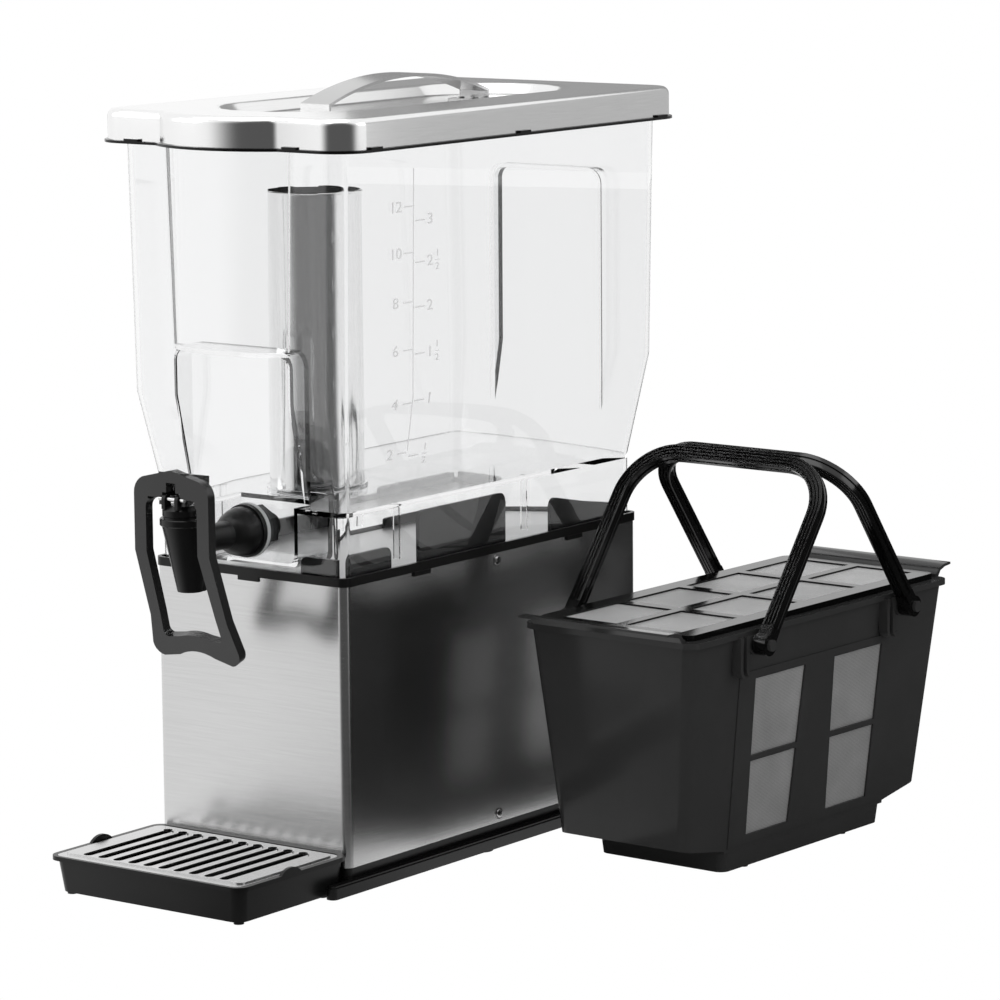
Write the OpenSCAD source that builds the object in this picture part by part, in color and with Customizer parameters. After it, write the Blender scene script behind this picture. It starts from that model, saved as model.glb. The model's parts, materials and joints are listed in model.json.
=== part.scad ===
// Iced tea dispenser with a loop lever faucet, a drip tray and a lift-out brew basket.
// Millimetres. X runs across the front, Y runs from the faucet to the back, Z is up.
// The origin is on the table, under the middle of the stand.

/* [Stand] */
// Width of the steel stand
base_w = 165; // [159:1:175]
// Depth of the steel stand
base_d = 338; // [330:1:350]
// Height of the top edge of the steel shell
shell_top = 208; // [196:1:220]
// Thickness of the steel shell
sheet = 1; // [0.8:0.1:1.2]
// Radius of the upright corners of the stand
base_r = 6; // [5:0.5:7]
// Height of the rubber feet
foot_h = 1; // [1:0.5:3]
// Height of the foot flange of the stand above the table
plinth_top = 10; // [9:0.5:13]
// How far the foot flange stands out past the steel
plinth_out = 6.5; // [5.5:0.5:8]
// Length of the two noses beside the drip tray
nose_len = 24; // [16:1:28]
// Height of the black frame above the steel shell
frame_h = 6; // [5:0.5:8]
// Height of the tall blocks that locate the reservoir
block_h = 38; // [28:1:40]
// Diameter of the shell screws
screw_d = 4; // [3:0.5:4.5]

/* [Reservoir] */
// Height of the reservoir floor above the table
floor_z = 257; // [252:1:262]
// Height at which the lower taper ends
kink_z = 329; // [322:1:336]
// Height of the reservoir's upper edge
rim_z = 506; // [495:1:530]
// Half width of the reservoir at its upper edge
rim_half = 93.5; // [92:0.5:95]
// Half width of the reservoir at the end of the taper
kink_half = 90.3; // [89:0.1:91]
// Wall of the reservoir
wall = 3; // [2.5:0.1:3.4]
// Half width of the recess above the faucet
pocket_half = 48.5; // [45.5:0.5:51.5]
// Height at which the recess above the faucet ends
pocket_top = 361; // [354:1:368]
// How far the bowed front stands out
bow = 17; // [12:1:20]
// Depth of the sump behind the faucet
sump_d = 40; // [32:1:46]
// Outer diameter of the ice tube
tube_d = 63; // [56:1:66]
// Height of the ice tube
tube_h = 206; // [150:1:214]

/* [Lid] */
// Height of the steel cap of the lid
cap_h = 20.5; // [17:0.5:24]
// Half width of the lid
lid_half = 108; // [105:1:112]
// How far the bowed front of the lid stands out
lid_bow = 17; // [12:1:20]
// Length of the handle between its feet
handle_len = 181; // [150:1:190]
// Width of the handle strap
handle_w = 25; // [20:1:30]
// Rise of the handle over the lid
handle_rise = 15.5; // [12:0.5:22]
// Depth of the recess in the lid
dish_d = 8; // [6:0.5:9]

/* [Faucet] */
// Height of the faucet's axis above the table
faucet_z = 239.5; // [236:0.5:242]
// Diameter of the faucet's threaded shank
shank_d = 18; // [16:0.5:20]
// Distance from the reservoir wall to the valve
valve_out = 70; // [66:1:76]
// Outer diameter of the bonnet
bonnet_d = 25.4; // [24:0.2:28]
// Half width of the loop lever at its top
lever_half = 32; // [30:0.5:35]
// Width of the bars of the lever
lever_bar = 10; // [8:0.5:11]
// Thickness of the lever
lever_t = 7; // [5:0.5:8]

/* [Drip tray] */
// Half width of the tray at its rim
tray_half = 84; // [82:1:86]
// Distance that the tray stands out in front
tray_len = 115; // [102:1:127]
// Height of the tray's rim
tray_top = 27; // [24:1:30]
// Number of slots in the grate
slots = 10; // [6:1:12]
// Distance between slots
slot_pitch = 13.2; // [11:0.1:14]

/* [Brew basket] */
// Place of the basket across the front
basket_x = 213.4; // [205:1:240]
// Place of the basket along the depth
basket_y = 108; // [80:1:130]
// Turn of the basket on the table
basket_turn = -1.5; // [-3:0.5:3]
// Height of the basket's rim above the table
basket_h = 172; // [160:1:180]
// Half width of the tub at its rim
tub_half = 69.2; // [66:0.2:72]
// Half length of the tub at its rim
tub_len = 154.2; // [148:0.2:160]
// Wall of the tub
tub_wall = 2.2; // [1.8:0.1:2.6]
// Half length of the sump under the tub
well_len = 97; // [90:1:104]
// Length of a bail handle from its pivot to its top
bail_r = 141; // [133:1:149]
// Distance of the bail pivots from the middle
pivot_v = 89; // [83:1:95]
// Lean of the two bail handles towards each other
bail_lean = 37; // [35:1:39]
// Width of a bail's bar
bail_bar = 10; // [8:0.5:11]

/* [Hidden] */

$fn = 48;
tiny = 0.01;
fit = 0.3;
front = -base_d / 2;
back = base_d / 2;
base_half = base_w / 2;

// Stand
neck_half = base_half - sheet - 0.2;
shell_z = 17;
nose_half = 4.2;
frame_top = shell_top + frame_h;
ledge_z = shell_top + 2;
screw_zs = [23, shell_top - 5.6];
skirt_half = base_half - 2.5;
skirt_front = front + 2;
skirt_back = back - 2;
skirt_r = 8;
block_t = 3;
blocks = [[front + 87, front + 185, block_h], [front + 12, front + 56, 18], [front + 239, back - 10, 26]];

// Reservoir
kink_front = front - 14.2;
kink_back = back + 14;
rim_front = front - 15.3;
rim_back = back + 14.8;
floor_t = 3.5;
sump_half = 40;
sump_z = 216;
panel_half = 47;
panel_top = 457;
panel_y = back + 4;
bow_half_low = pocket_half + 2;
bow_half_top = pocket_half + 6;
tube_y = front + 75;

// Lid
lid_front = front - 24.5;
lid_back = back + 20.9;
lid_r = 22;
bow_half = 51.5;
liner_z = 497.7 + rim_z - 506;
cap_z = liner_z + 2;
cap_top = cap_z + cap_h;
cap_edge = 5;
lid_bow_r = (bow_half * bow_half + lid_bow * lid_bow) / (2 * lid_bow);
dish_y = tube_y + 93.5;
dish_half = lid_half - 48;
dish_len = (lid_back - lid_front) / 2 - 32;
dish_z = cap_top - dish_d;
rivet_r = 1.55;

// Faucet
valve_y = skirt_front - valve_out;
bonnet_top = faucet_z + 26.5;
bonnet_low = bonnet_top - 14;
barrel_r = bonnet_d / 2 - 1.2;
pivot_y = valve_y - 9;
pivot_z = bonnet_top + 4.5;
lever_front = pivot_y - 1.5;
lever_top = bonnet_top + 24;
knee_z = faucet_z - 5;
stem_r = 2.5;
lug_z = pivot_z + 2.5;
lug_r = 1.5;
collar_z = lug_z + lug_r + fit;
ear_x = 7;
cheek_x = 8;
cheek_out = 11;
pin_r = 1.6;
spout_tilt = 17;
seat_z = faucet_z - 1.5;

// Drip tray
tray_front = front - tray_len;
tray_back = front;
tray_foot = 2;
grate_half = tray_half - 4;
grate_front = tray_front + 2.5;
grate_back = front - 5;
slot_r = 3.6;
slot_y0 = grate_front + 12;
slot_y1 = grate_back - 15;

// Brew basket
side_slope = 0.1;
side_angle = atan(side_slope);
side_foot = tub_half - side_slope * basket_h;
end_slope = 0.0895;
end_foot = tub_len - end_slope * basket_h;
well_z = 3;
well_top = 18.5;
end_z = 25.5;
bail_z = basket_h - 9;
bail_u = 81.3;
bail_top = 7;
bail_corner = 42;
lip_half = 62;
shelf_half = tub_half - 9;
shelf_len = tub_len - 11;
pane_end = tub_len - 14.2;
pane_gap = 8.5;
pane_len = (2 * pane_end - 3 * pane_gap) / 4;
pane_in = 4;
pane_out = shelf_half - 10.2;
window_low = well_top + 7.5;
window_high = basket_h - 35;

// Points of an arc about a centre, from one angle to another in n steps
function arc(cx, cy, r, a0, a1, n) =
    [for (i = [0:n]) let(a = a0 + (a1 - a0) * i / n) [cx + r * cos(a), cy + r * sin(a)]];

// Rounded rectangle between x = -h and h and y = y0 and y1, counter-clockwise
function round_rect(h, y0, y1, r, n = 6) = concat(
    arc(h - r, y0 + r, r, -90, 0, n), arc(h - r, y1 - r, r, 0, 90, n),
    arc(-h + r, y1 - r, r, 90, 180, n), arc(-h + r, y0 + r, r, 180, 270, n));

// Rounded rectangle whose front has a bow of radius br centred at y = bc
function bowed_rect(h, y0, y1, r, bc, br, n = 6, m = 16) =
    let(c = sqrt(br * br - (bc - y0) * (bc - y0)), a = atan2(c, bc - y0))
    concat(arc(0, bc, br, -90 - a, -90 + a, m), round_rect(h, y0, y1, r, n));

// Ring of 3-D points from an outline at one height
function ring(pts, z) = [for (p = pts) [p[0], p[1], z]];

function middle(pts) = let(n = len(pts)) [for (k = [0:2]) [for (p = pts) p[k]] * [for (p = pts) 1] / n];

// Solid through a list of rings with equal counts, lowest first
module loft(rings) {
    n = len(rings[0]);
    m = len(rings);
    pts = concat([for (s = rings) for (p = s) p], [middle(rings[0]), middle(rings[m - 1])]);
    sides = [for (k = [0:m - 2]) for (i = [0:n - 1]) let(j = (i + 1) % n)
        each [[k * n + i, (k + 1) * n + i, (k + 1) * n + j],
              [k * n + i, (k + 1) * n + j, k * n + j]]];
    caps = [for (i = [0:n - 1]) let(j = (i + 1) % n, t = (m - 1) * n)
        each [[i, j, m * n], [t + j, t + i, m * n + 1]]];
    polyhedron(pts, concat(sides, caps), convexity = 6);
}

// Upright plate of an outline
module slab(pts, z0, z1) {
    translate([0, 0, z0]) linear_extrude(z1 - z0) polygon(pts);
}

// Plate that faces the front, drawn in x and z, from y0 to y1
module front_plate(pts, y0, y1) {
    translate([0, y1, 0]) rotate([90, 0, 0]) linear_extrude(y1 - y0) polygon(pts);
}

// Plate that faces the side, drawn in y and z, from x0 to x1
module side_plate(pts, x0, x1) {
    translate([x0, 0, 0]) rotate([90, 0, 90]) linear_extrude(x1 - x0) polygon(pts);
}

module both_sides() {
    children();
    mirror([1, 0, 0]) children();
}

// Outline of the stand, moved in by an inset
function stand(i) = round_rect(base_half - i, front + i, back - i, max(base_r - i, 1));

// Outline of the foot flange with its two noses, moved in by an inset
module plinth_outline(i) {
    h = base_half + plinth_out - i;
    polygon(round_rect(h, front - 0.6 + i, back + 4 - i, 3));
    for (s = [-1, 1]) translate([s * (base_half + plinth_out - nose_half), 0])
        polygon(round_rect(nose_half - i, front - nose_len + i, front + 12, nose_half - 0.5 - i));
}

module plinth() {
    color("#1b1b1c") difference() {
        union() {
            translate([0, 0, foot_h]) linear_extrude(plinth_top - 1.5 - foot_h) plinth_outline(0);
            translate([0, 0, plinth_top - 1.5]) linear_extrude(1.5) plinth_outline(1.2);
            slab(stand(sheet + 0.2), plinth_top - tiny, 34);
        }
        slab(stand(sheet + 3.4), foot_h + 5, 35);
        for (s = [-1, 1]) translate([s * base_half, 0, screw_zs[0]]) rotate([0, 90, 0])
            cylinder(d = screw_d, h = 12, center = true);
    }
}

module base_feet() {
    places = [[24, front + 24], [9.5, front + 151], [24, back - 26]];
    color("#101010") both_sides() for (p = places)
        translate([base_half + plinth_out - p[0], p[1], 0]) cylinder(r = 9, h = foot_h);
}

module base_shell() {
    color("#b9bbbd") difference() {
        slab(stand(0), shell_z, shell_top);
        slab(stand(sheet), shell_z - 1, shell_top + 1);
        for (z = screw_zs) translate([0, 0, z]) rotate([0, 90, 0])
            cylinder(d = screw_d, h = base_w + 2, center = true);
    }
}

module shell_screws() {
    color("#9a9c9e") both_sides() for (z = screw_zs)
        translate([base_half, 0, z]) rotate([0, 90, 0]) {
            translate([0, 0, -sheet - 5]) cylinder(d = screw_d - 0.1, h = sheet + 5 + tiny);
            intersection() {
                cylinder(r = 3.4, h = 1.4);
                translate([0, 0, -3.6]) sphere(r = 5);
            }
        }
}

module locating_block(y0, y1, top) {
    x1 = skirt_half - wall - fit;
    r = 6;
    side_plate(concat([[y0, ledge_z - tiny], [y1, ledge_z - tiny]],
        arc(y1 - r, top - r, r, 0, 90, 6), arc(y0 + r, top - r, r, 90, 180, 6)), x1 - block_t, x1);
}

module top_frame() {
    x1 = skirt_half - wall - fit - 5;
    y_in = skirt_front + wall + fit;
    y_out = skirt_back - wall - fit;
    function end_block(x0, h) = concat([[x0, ledge_z - tiny], [x1, ledge_z - tiny], [x1, ledge_z + h]],
        arc(x0 + 5, ledge_z + h - 5, 5, 90, 180, 5));
    color("#1b1b1c") {
        difference() {
            union() {
                slab(stand(-1), shell_top, frame_top);
                slab(stand(sheet + 0.2), shell_top - 14, shell_top + tiny);
            }
            slab(stand(1.6), ledge_z, frame_top + 1);
            slab(stand(sheet + 3.4), shell_top - 15, shell_top);
            slab(stand(12), shell_top - 1, ledge_z + 1);
            for (s = [-1, 1]) translate([s * base_half, 0, screw_zs[1]]) rotate([0, 90, 0])
                cylinder(d = screw_d, h = 14, center = true);
        }
        both_sides() {
            for (b = blocks) locating_block(b[0], b[1], ledge_z + b[2]);
            front_plate(end_block(sump_half + 2, 15), y_in, y_in + block_t);
            front_plate(end_block(34, 26), y_out - block_t, y_out);
            for (y = [front + 83, front + 260]) translate([base_half + 0.1, y - 9, shell_top - 3])
                cube([1.3, 18, 3 + tiny]);
        }
        for (y = [front - 1, back + 0.1]) translate([-9, y, shell_top - 3]) cube([18, 0.9, 3 + tiny]);
    }
}

module base_deck() {
    color("#c4c6c8") difference() {
        slab(stand(9.2), ledge_z, ledge_z + 1);
        both_sides() {
            for (b = blocks)
                translate([skirt_half - wall - fit - block_t - fit, b[0] - fit, ledge_z - 1])
                    cube([20, b[1] - b[0] + 2 * fit, 4]);
            translate([sump_half + 1.5, front - 1, ledge_z - 1]) cube([60, 10 + fit, 4]);
            translate([33.5, back - 9 - fit, ledge_z - 1]) cube([60, 20, 4]);
        }
    }
}

// Outline of the reservoir at a height, moved in by an inset
function tank(z, i) =
    let(low = z <= kink_z, t = low ? (z - floor_z) / (kink_z - floor_z) : (z - kink_z) / (rim_z - kink_z),
        h = low ? skirt_half + t * (kink_half - skirt_half) : kink_half + t * (rim_half - kink_half),
        f = low ? skirt_front + t * (kink_front - skirt_front) : kink_front + t * (rim_front - kink_front),
        b = low ? skirt_back + t * (kink_back - skirt_back) : kink_back + t * (rim_back - kink_back))
    round_rect(h - i, f + i, b - i, skirt_r + 4 * min(1, (z - floor_z) / (kink_z - floor_z)) - i);

module tank_solid(i, z0, z1) {
    loft([ring(tank(z0, i), z0), ring(tank(kink_z, i), kink_z), ring(tank(z1, i), z1)]);
}

// The bowed front between the recess and the rim
module bow_solid(i, z0, z1) {
    function half(z) = bow_half_low + (bow_half_top - bow_half_low) * (z - pocket_top) / (rim_z - pocket_top);
    function face(z) = kink_front + (rim_front - kink_front) * (z - kink_z) / (rim_z - kink_z);
    function bulge(z, c) = let(h = half(z), r = (h * h + bow * bow) / (2 * bow), y = face(z) - bow + r,
        a = asin((h - i * 0.4) / r), q = r - i)
        ring(concat(arc(0, y, q, -90 - a, -90 + a, 16),
            [[h - i, face(z) + c], [-h + i, face(z) + c]]), z);
    loft([bulge(z0, 8), bulge(z1, 8)]);
}

// Block that the recess above the faucet takes out of the tank
module pocket(h, z1, y1, r) {
    front_plate(concat([[-h, floor_z - 60], [h, floor_z - 60]],
        arc(h - r, z1 - r, r, 0, 90, 5), arc(-h + r, z1 - r, r, 90, 180, 5)), front - 60, y1);
}

module rear_panel(h, z1, y0, r) {
    front_plate(concat([[-h, kink_z - 60], [h, kink_z - 60]],
        arc(h - r, z1 - r, r, 0, 90, 5), arc(-h + r, z1 - r, r, 90, 180, 5)), y0, back + 60);
}

module reservoir() {
    ring_in = tube_d / 2 + fit;
    color("#e8edf0", 0.35) difference() {
        union() {
            difference() {
                union() {
                    tank_solid(0, floor_z - tiny, rim_z);
                    bow_solid(0, pocket_top, rim_z);
                }
                pocket(pocket_half, pocket_top, skirt_front, 8);
                rear_panel(panel_half, panel_top, panel_y, 8);
                difference() {
                    union() {
                        tank_solid(wall, floor_z, rim_z + 1);
                        bow_solid(wall, pocket_top + wall, rim_z + 1);
                    }
                    pocket(pocket_half + wall, pocket_top + wall, skirt_front + wall, 8 + wall);
                    rear_panel(panel_half + wall, panel_top + wall, panel_y - wall, 8 + wall);
                }
            }
            difference() {
                slab(round_rect(skirt_half, skirt_front, skirt_back, skirt_r), ledge_z + 0.2, floor_z);
                slab(round_rect(skirt_half - wall, skirt_front + wall, skirt_back - wall, skirt_r - wall),
                    ledge_z - 1, floor_z - floor_t);
            }
            front_plate(sump_shape(0), skirt_front + tiny, skirt_front + sump_d);
            both_sides() for (y = [front + 65, front + 210])
                side_plate([[y - 1, floor_z - floor_t], [y - 1, ledge_z + 8], [y + 1, ledge_z + 8],
                    [y + 1, floor_z - floor_t]], skirt_half - wall - 5, skirt_half - 1);
            translate([0, tube_y, floor_z - tiny]) difference() {
                cylinder(r = ring_in + 2, h = 4);
                translate([0, 0, -1]) cylinder(r = ring_in, h = 6);
            }
        }
        front_plate(sump_shape(wall), skirt_front + wall, skirt_front + sump_d - wall);
        translate([0, skirt_front + wall + 4, faucet_z]) rotate([90, 0, 0])
            cylinder(d = shank_d + 0.6, h = 20);
    }
}

function sump_shape(i) =
    let(h = sump_half - i, z = sump_z + i, r = 6)
    concat(arc(-h + r, z + r, r, 180, 270, 5), arc(h - r, z + r, r, 270, 360, 5),
        [[h, floor_z - floor_t / 2 + i], [-h, floor_z - floor_t / 2 + i]]);

module ice_tube() {
    r = tube_d / 2;
    color("#a9abad") translate([0, tube_y, floor_z + 0.1]) rotate_extrude($fn = 64)
        polygon(concat([[0, 0], [r - 4, 0]], arc(r - 4, 4, 4, -60, 0, 3),
            [[r, tube_h - 2], [r + 0.8, tube_h - 1.2], [r + 0.8, tube_h - 0.4], [r, tube_h],
             [r - 0.9, tube_h], [r - 0.9, 4]], arc(r - 4, 4, 3.1, 0, -60, 3), [[r - 4, 0.9], [0, 0.9]]));
}

// Outline of the lid, moved in by an inset
function lid(i) = bowed_rect(lid_half - i, lid_front + i, lid_back - i, lid_r - i,
    lid_front - lid_bow + lid_bow_r, lid_bow_r - i);

function stadium(h, l, n = 12) =
    concat(arc(0, dish_y - l + h, h, 180, 360, n), arc(0, dish_y + l - h, h, 0, 180, n));

function cap_rings(t) =
    concat([ring(lid(t), cap_z - (t > 0 ? 1 : 0))],
        [for (k = [0:5]) let(a = k * 18) ring(lid(t + (cap_edge - t * 0.6) * (1 - cos(a))),
            cap_top - t - (cap_edge - t * 0.6) * (1 - sin(a)))]);

module dish(t) {
    loft([ring(stadium(dish_half - 9 + t, dish_len - 9 + t), dish_z - t),
        ring(stadium(dish_half - 7 + t, dish_len - 7 + t), dish_z + 1 - t),
        ring(stadium(dish_half - 2 + t, dish_len - 2 + t), cap_top - 1.5 - t * 0.5),
        ring(stadium(dish_half + t, dish_len + t), cap_top - 0.4),
        ring(stadium(dish_half + 1.5 + t, dish_len + 1.5 + t), cap_top + 0.1)]);
}

module lid_cap() {
    color("#c6c8ca") difference() {
        loft(cap_rings(0));
        difference() {
            loft(cap_rings(sheet));
            dish(sheet);
        }
        dish(0);
        for (p = rivet_places()) translate([p[0], p[1], dish_z - 5]) cylinder(r = rivet_r + 0.05, h = 10);
    }
}

function rivet_places() = [for (s = [-1, 1]) for (x = [-6, 6]) [x, dish_y + s * (handle_len / 2 - 9)]];

module lid_liner() {
    gap = 1;
    top = rim_z + 0.2;
    color("#161616") {
        difference() {
            slab(lid(-2.3), liner_z, cap_z - 0.1);
            slab(liner_outline(gap), liner_z - 1, cap_z);
        }
        difference() {
            slab(lid(sheet + 0.4), cap_z - 0.1 - tiny, cap_z + 3);
            slab(lid(sheet + 2.4), cap_z - 1, cap_z + 4);
        }
        difference() {
            slab(liner_outline(gap + 2), cap_z - 1, top + 2);
            slab(liner_outline(gap), liner_z - 1, top);
            slab(round_rect(rim_half - 7, rim_front + 7, rim_back - 7, 8), liner_z, top + 5);
        }
        for (y = [lid_front + 30, 0, lid_back - 26]) for (s = [-1, 1])
            translate([s * (lid_half + 1.2) - 1.1, y - 6, cap_z - 0.2]) cube([2.2, 12, 1.6]);
        for (x = [-74, 62]) translate([x - 6, lid_front - 2.3, cap_z - 0.2]) cube([12, 2.2, 1.6]);
    }
}

function liner_outline(g) =
    let(h = rim_half + g, f = rim_front - g, c = bow_half_top + g + 1, s = bow, r = (c * c + s * s) / (2 * s))
    concat(arc(0, f - s + r, r, -90 - asin(c / r), -90 + asin(c / r), 16),
        round_rect(h, f, rim_back + g, skirt_r + 4 + g));

module lid_handle() {
    t = 2;
    l = handle_len / 2;
    z0 = dish_z;
    shoulder = cap_top + 0.5;
    r = (l * l + handle_rise * handle_rise) / (2 * handle_rise);
    a = asin(l / r);
    top = shoulder + handle_rise;
    module strap(pts) { side_plate(pts, -handle_w / 2, handle_w / 2); }
    color("#b4b6b8") difference() {
        translate([0, dish_y, 0]) {
            strap(concat(arc(0, top - r, r, 90 - a, 90 + a, 20), arc(0, top - r, r - t, 90 + a, 90 - a, 20)));
            for (s = [-1, 1]) {
                strap([[s * l, shoulder - 0.2], [s * l, z0], [s * (l - t), z0],
                    [s * (l - t), shoulder - 1.6]]);
                strap([[s * l, z0], [s * (l - 16), z0], [s * (l - 16), z0 + t], [s * l, z0 + t]]);
            }
        }
        for (p = rivet_places()) translate([p[0], p[1], z0 - 1]) cylinder(r = rivet_r + 0.05, h = t + 2);
    }
}

module handle_rivets() {
    color("#8f9193") for (p = rivet_places()) translate([p[0], p[1], 0]) {
        translate([0, 0, dish_z - sheet]) cylinder(r = rivet_r, h = sheet + 2);
        translate([0, 0, dish_z + 2]) cylinder(r1 = 3, r2 = 2, h = 1);
        translate([0, 0, dish_z - sheet - 1]) cylinder(r = 3, h = 1);
    }
}

module faucet_body() {
    color("#1a1a1b") difference() {
        union() {
            translate([0, skirt_front, faucet_z]) rotate([90, 0, 0]) rotate_extrude()
                polygon([[0, -24], [shank_d / 2 - 0.6, -24], [shank_d / 2, -23], [shank_d / 2, 3], [18, 3],
                    [18, 6.4], [16.8, 6.4], [16.8, 9], [16.2, 13], [14.6, 18], [12.2, 22.5], [9.6, 26],
                    [9.3, 30], [9.3, valve_out], [0, valve_out]]);
            translate([0, valve_y, faucet_z - 13]) cylinder(r = barrel_r, h = bonnet_low - faucet_z + 13);
            translate([0, valve_y, bonnet_low - tiny]) cylinder(r = barrel_r - 1.4, h = 8);
            intersection() {
                translate([0, valve_y, faucet_z + 8]) rotate([180 + spout_tilt, 0, 0])
                    cylinder(r1 = 10.8, r2 = 8, h = 43);
                translate([-20, valve_y - 25, faucet_z - 32.5]) cube([40, 60, 50]);
            }
        }
        translate([0, skirt_front + 30, faucet_z]) rotate([90, 0, 0]) cylinder(r = 5.5, h = valve_out + 30);
        translate([0, valve_y, seat_z]) cylinder(r = 8.2, h = 30);
        translate([0, valve_y, seat_z - 3 - tiny]) cylinder(r1 = 5.2, r2 = 8.2, h = 3 + 2 * tiny);
        translate([0, valve_y, seat_z]) rotate([180 + spout_tilt, 0, 0]) cylinder(r = 5.5, h = 45);
    }
}

module shank_washer() {
    color("#b8bbb9", 0.7) translate([0, skirt_front, faucet_z]) rotate([90, 0, 0]) difference() {
        cylinder(r = 18.6, h = 3);
        translate([0, 0, -1]) cylinder(d = shank_d + 0.2, h = 5);
    }
}

module shank_nut() {
    color("#1a1a1b") translate([0, skirt_front + wall, faucet_z]) rotate([-90, 0, 0]) difference() {
        union() {
            cylinder(r = 16.8, h = 2);
            translate([0, 0, 2 - tiny]) rotate([0, 0, 30]) cylinder(r = 15.6, h = 10, $fn = 6);
        }
        translate([0, 0, -1]) cylinder(d = shank_d + 0.1, h = 15);
    }
}

module pin_hole(r) translate([0, pivot_y, pivot_z]) rotate([0, 90, 0]) cylinder(r = r, h = 40, center = true);

module bonnet() {
    r = bonnet_d / 2;
    color("#161617") difference() {
        union() {
            translate([0, valve_y, bonnet_low]) rotate_extrude()
                polygon([[0, 0], [r, 0], [r, 4.4], [r - 0.7, 5], [r - 0.7, 6.4], [r, 7], [r, 11],
                    [r - 1.6, 12.6], [r - 3, 14], [0, 14]]);
            both_sides() side_plate(concat([[pivot_y - 3, bonnet_top - 2], [pivot_y + 4, bonnet_top - 2]],
                arc(pivot_y, pivot_z, 3, 0, 180, 8)), ear_x - 3, ear_x);
        }
        translate([0, valve_y, bonnet_low - 1]) cylinder(r = barrel_r - 1.2, h = 9.2);
        translate([0, valve_y, bonnet_low - 1]) cylinder(r = 7, h = 12);
        translate([0, valve_y, bonnet_low]) cylinder(r = stem_r + 0.05, h = 20);
        pin_hole(pin_r + 0.05);
    }
}

module valve_stem() {
    color("#8a8c8e") translate([0, valve_y, 0]) {
        translate([0, 0, seat_z + 1]) cylinder(r = stem_r, h = collar_z - seat_z - 1 + tiny);
        translate([0, 0, seat_z + 7.3]) cylinder(r = 5.2, h = 1.4);
        translate([0, 0, collar_z]) cylinder(r1 = 5, r2 = 4.2, h = 3);
    }
}

module seat_cup() {
    color("#c9c6bd") translate([0, valve_y, seat_z]) difference() {
        rotate_extrude()
            polygon([[0, -2.2], [5.9, -2.2], [7.9, -0.2], [7.9, 0.8], [6.6, 3.4], [4.6, 7], [0, 7]]);
        translate([0, 0, 1]) cylinder(r = stem_r, h = 10);
    }
}

module valve_spring() {
    r = 5.2;
    w = 0.55;
    z0 = seat_z + 8.7 + w;
    z1 = bonnet_low + 10.7 - w;
    turns = 4;
    n = 16 * turns;
    k = 6;
    function centre(i) = let(a = 360 * turns * i / n)
        [r * cos(a), valve_y + r * sin(a), z0 + (z1 - z0) * i / n];
    color("#9fa1a3") loft([for (i = [0:n]) let(a = 360 * turns * i / n, c = centre(i))
        [for (j = [0:k - 1]) let(b = -360 * j / k) c + w * [cos(a) * cos(b), sin(a) * cos(b), sin(b)]]]);
}

// Upper part of the loop, drawn from the front, moved in by an inset
function loop_top(h, top, r) = concat([[h, knee_z], [h, top - 5 - r]], arc(h - r, top - 5 - r, r, 0, 68, 5),
    [[0, top]], arc(-h + r, top - 5 - r, r, 112, 180, 5), [[-h, knee_z]]);

module lever() {
    in = lever_half - lever_bar;
    low_half = lever_half + 4;
    low = 79;
    slant = 18.4;
    color("#19191a") {
        difference() {
            front_plate(loop_top(lever_half, lever_top, 12), lever_front, lever_front + lever_t);
            front_plate(loop_top(in, lever_top - 15, 6), lever_front - 1, lever_front + lever_t + 1);
            translate([-4, lever_front - 1, pivot_z - 4]) cube([8, lever_t + 2, 15]);
            translate([-ear_x - 0.4, lever_front - 1, pivot_z - 12])
                cube([2 * ear_x + 0.8, lever_t + 2, 16.5]);
            pin_hole(pin_r + 0.1);
        }
        translate([0, lever_front, knee_z]) rotate([slant, 0, 0]) difference() {
            front_plate(concat([[lever_half, 0], [-lever_half, 0], [-low_half + 3, -low * 0.62]],
                arc(-low_half + 8, -low + 9, 9, 180, 262, 5), arc(0, -low - 26, 32, 118, 62, 8),
                arc(low_half - 8, -low + 7, 9, 278, 360, 5), [[low_half - 3, -low * 0.62]]), 0, lever_t);
            front_plate(concat([[in, 1], [-in, 1], [-low_half + 12, -low * 0.6]],
                arc(-low_half + 15, -low + 19, 4, 180, 262, 4), arc(0, -low - 20, 38, 107, 73, 6),
                arc(low_half - 15, -low + 19, 4, 278, 360, 4), [[low_half - 12, -low * 0.6]]),
                -1, lever_t + 1);
        }
        for (s = [-1, 1]) {
            difference() {
                side_plate(concat([[lever_front + 1, pivot_z - 4], [pivot_y + 5, pivot_z - 4]],
                    [[valve_y + 12, pivot_z + 3], [valve_y + 16, pivot_z + 9], [valve_y + 16, lever_top - 6],
                     [lever_front + 1, lever_top - 3]]),
                    min(s * cheek_x, s * cheek_out), max(s * cheek_x, s * cheek_out));
                pin_hole(pin_r + 0.1);
            }
            translate([s * (stem_r + 0.7), valve_y, lug_z]) rotate([0, s * 90, 0])
                cylinder(r = lug_r, h = cheek_x - stem_r - 0.7 + tiny);
        }
        side_plate([[lever_front + 1, lever_top - 7], [valve_y + 16, lever_top - 9],
            [valve_y + 16, lever_top - 6], [lever_front + 1, lever_top - 1.6]], -cheek_out, cheek_out);
    }
}

module lever_pin() {
    color("#8a8c8e") translate([0, pivot_y, pivot_z]) rotate([0, 90, 0])
        cylinder(r = pin_r, h = 2 * cheek_out - 0.6, center = true);
}

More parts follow.
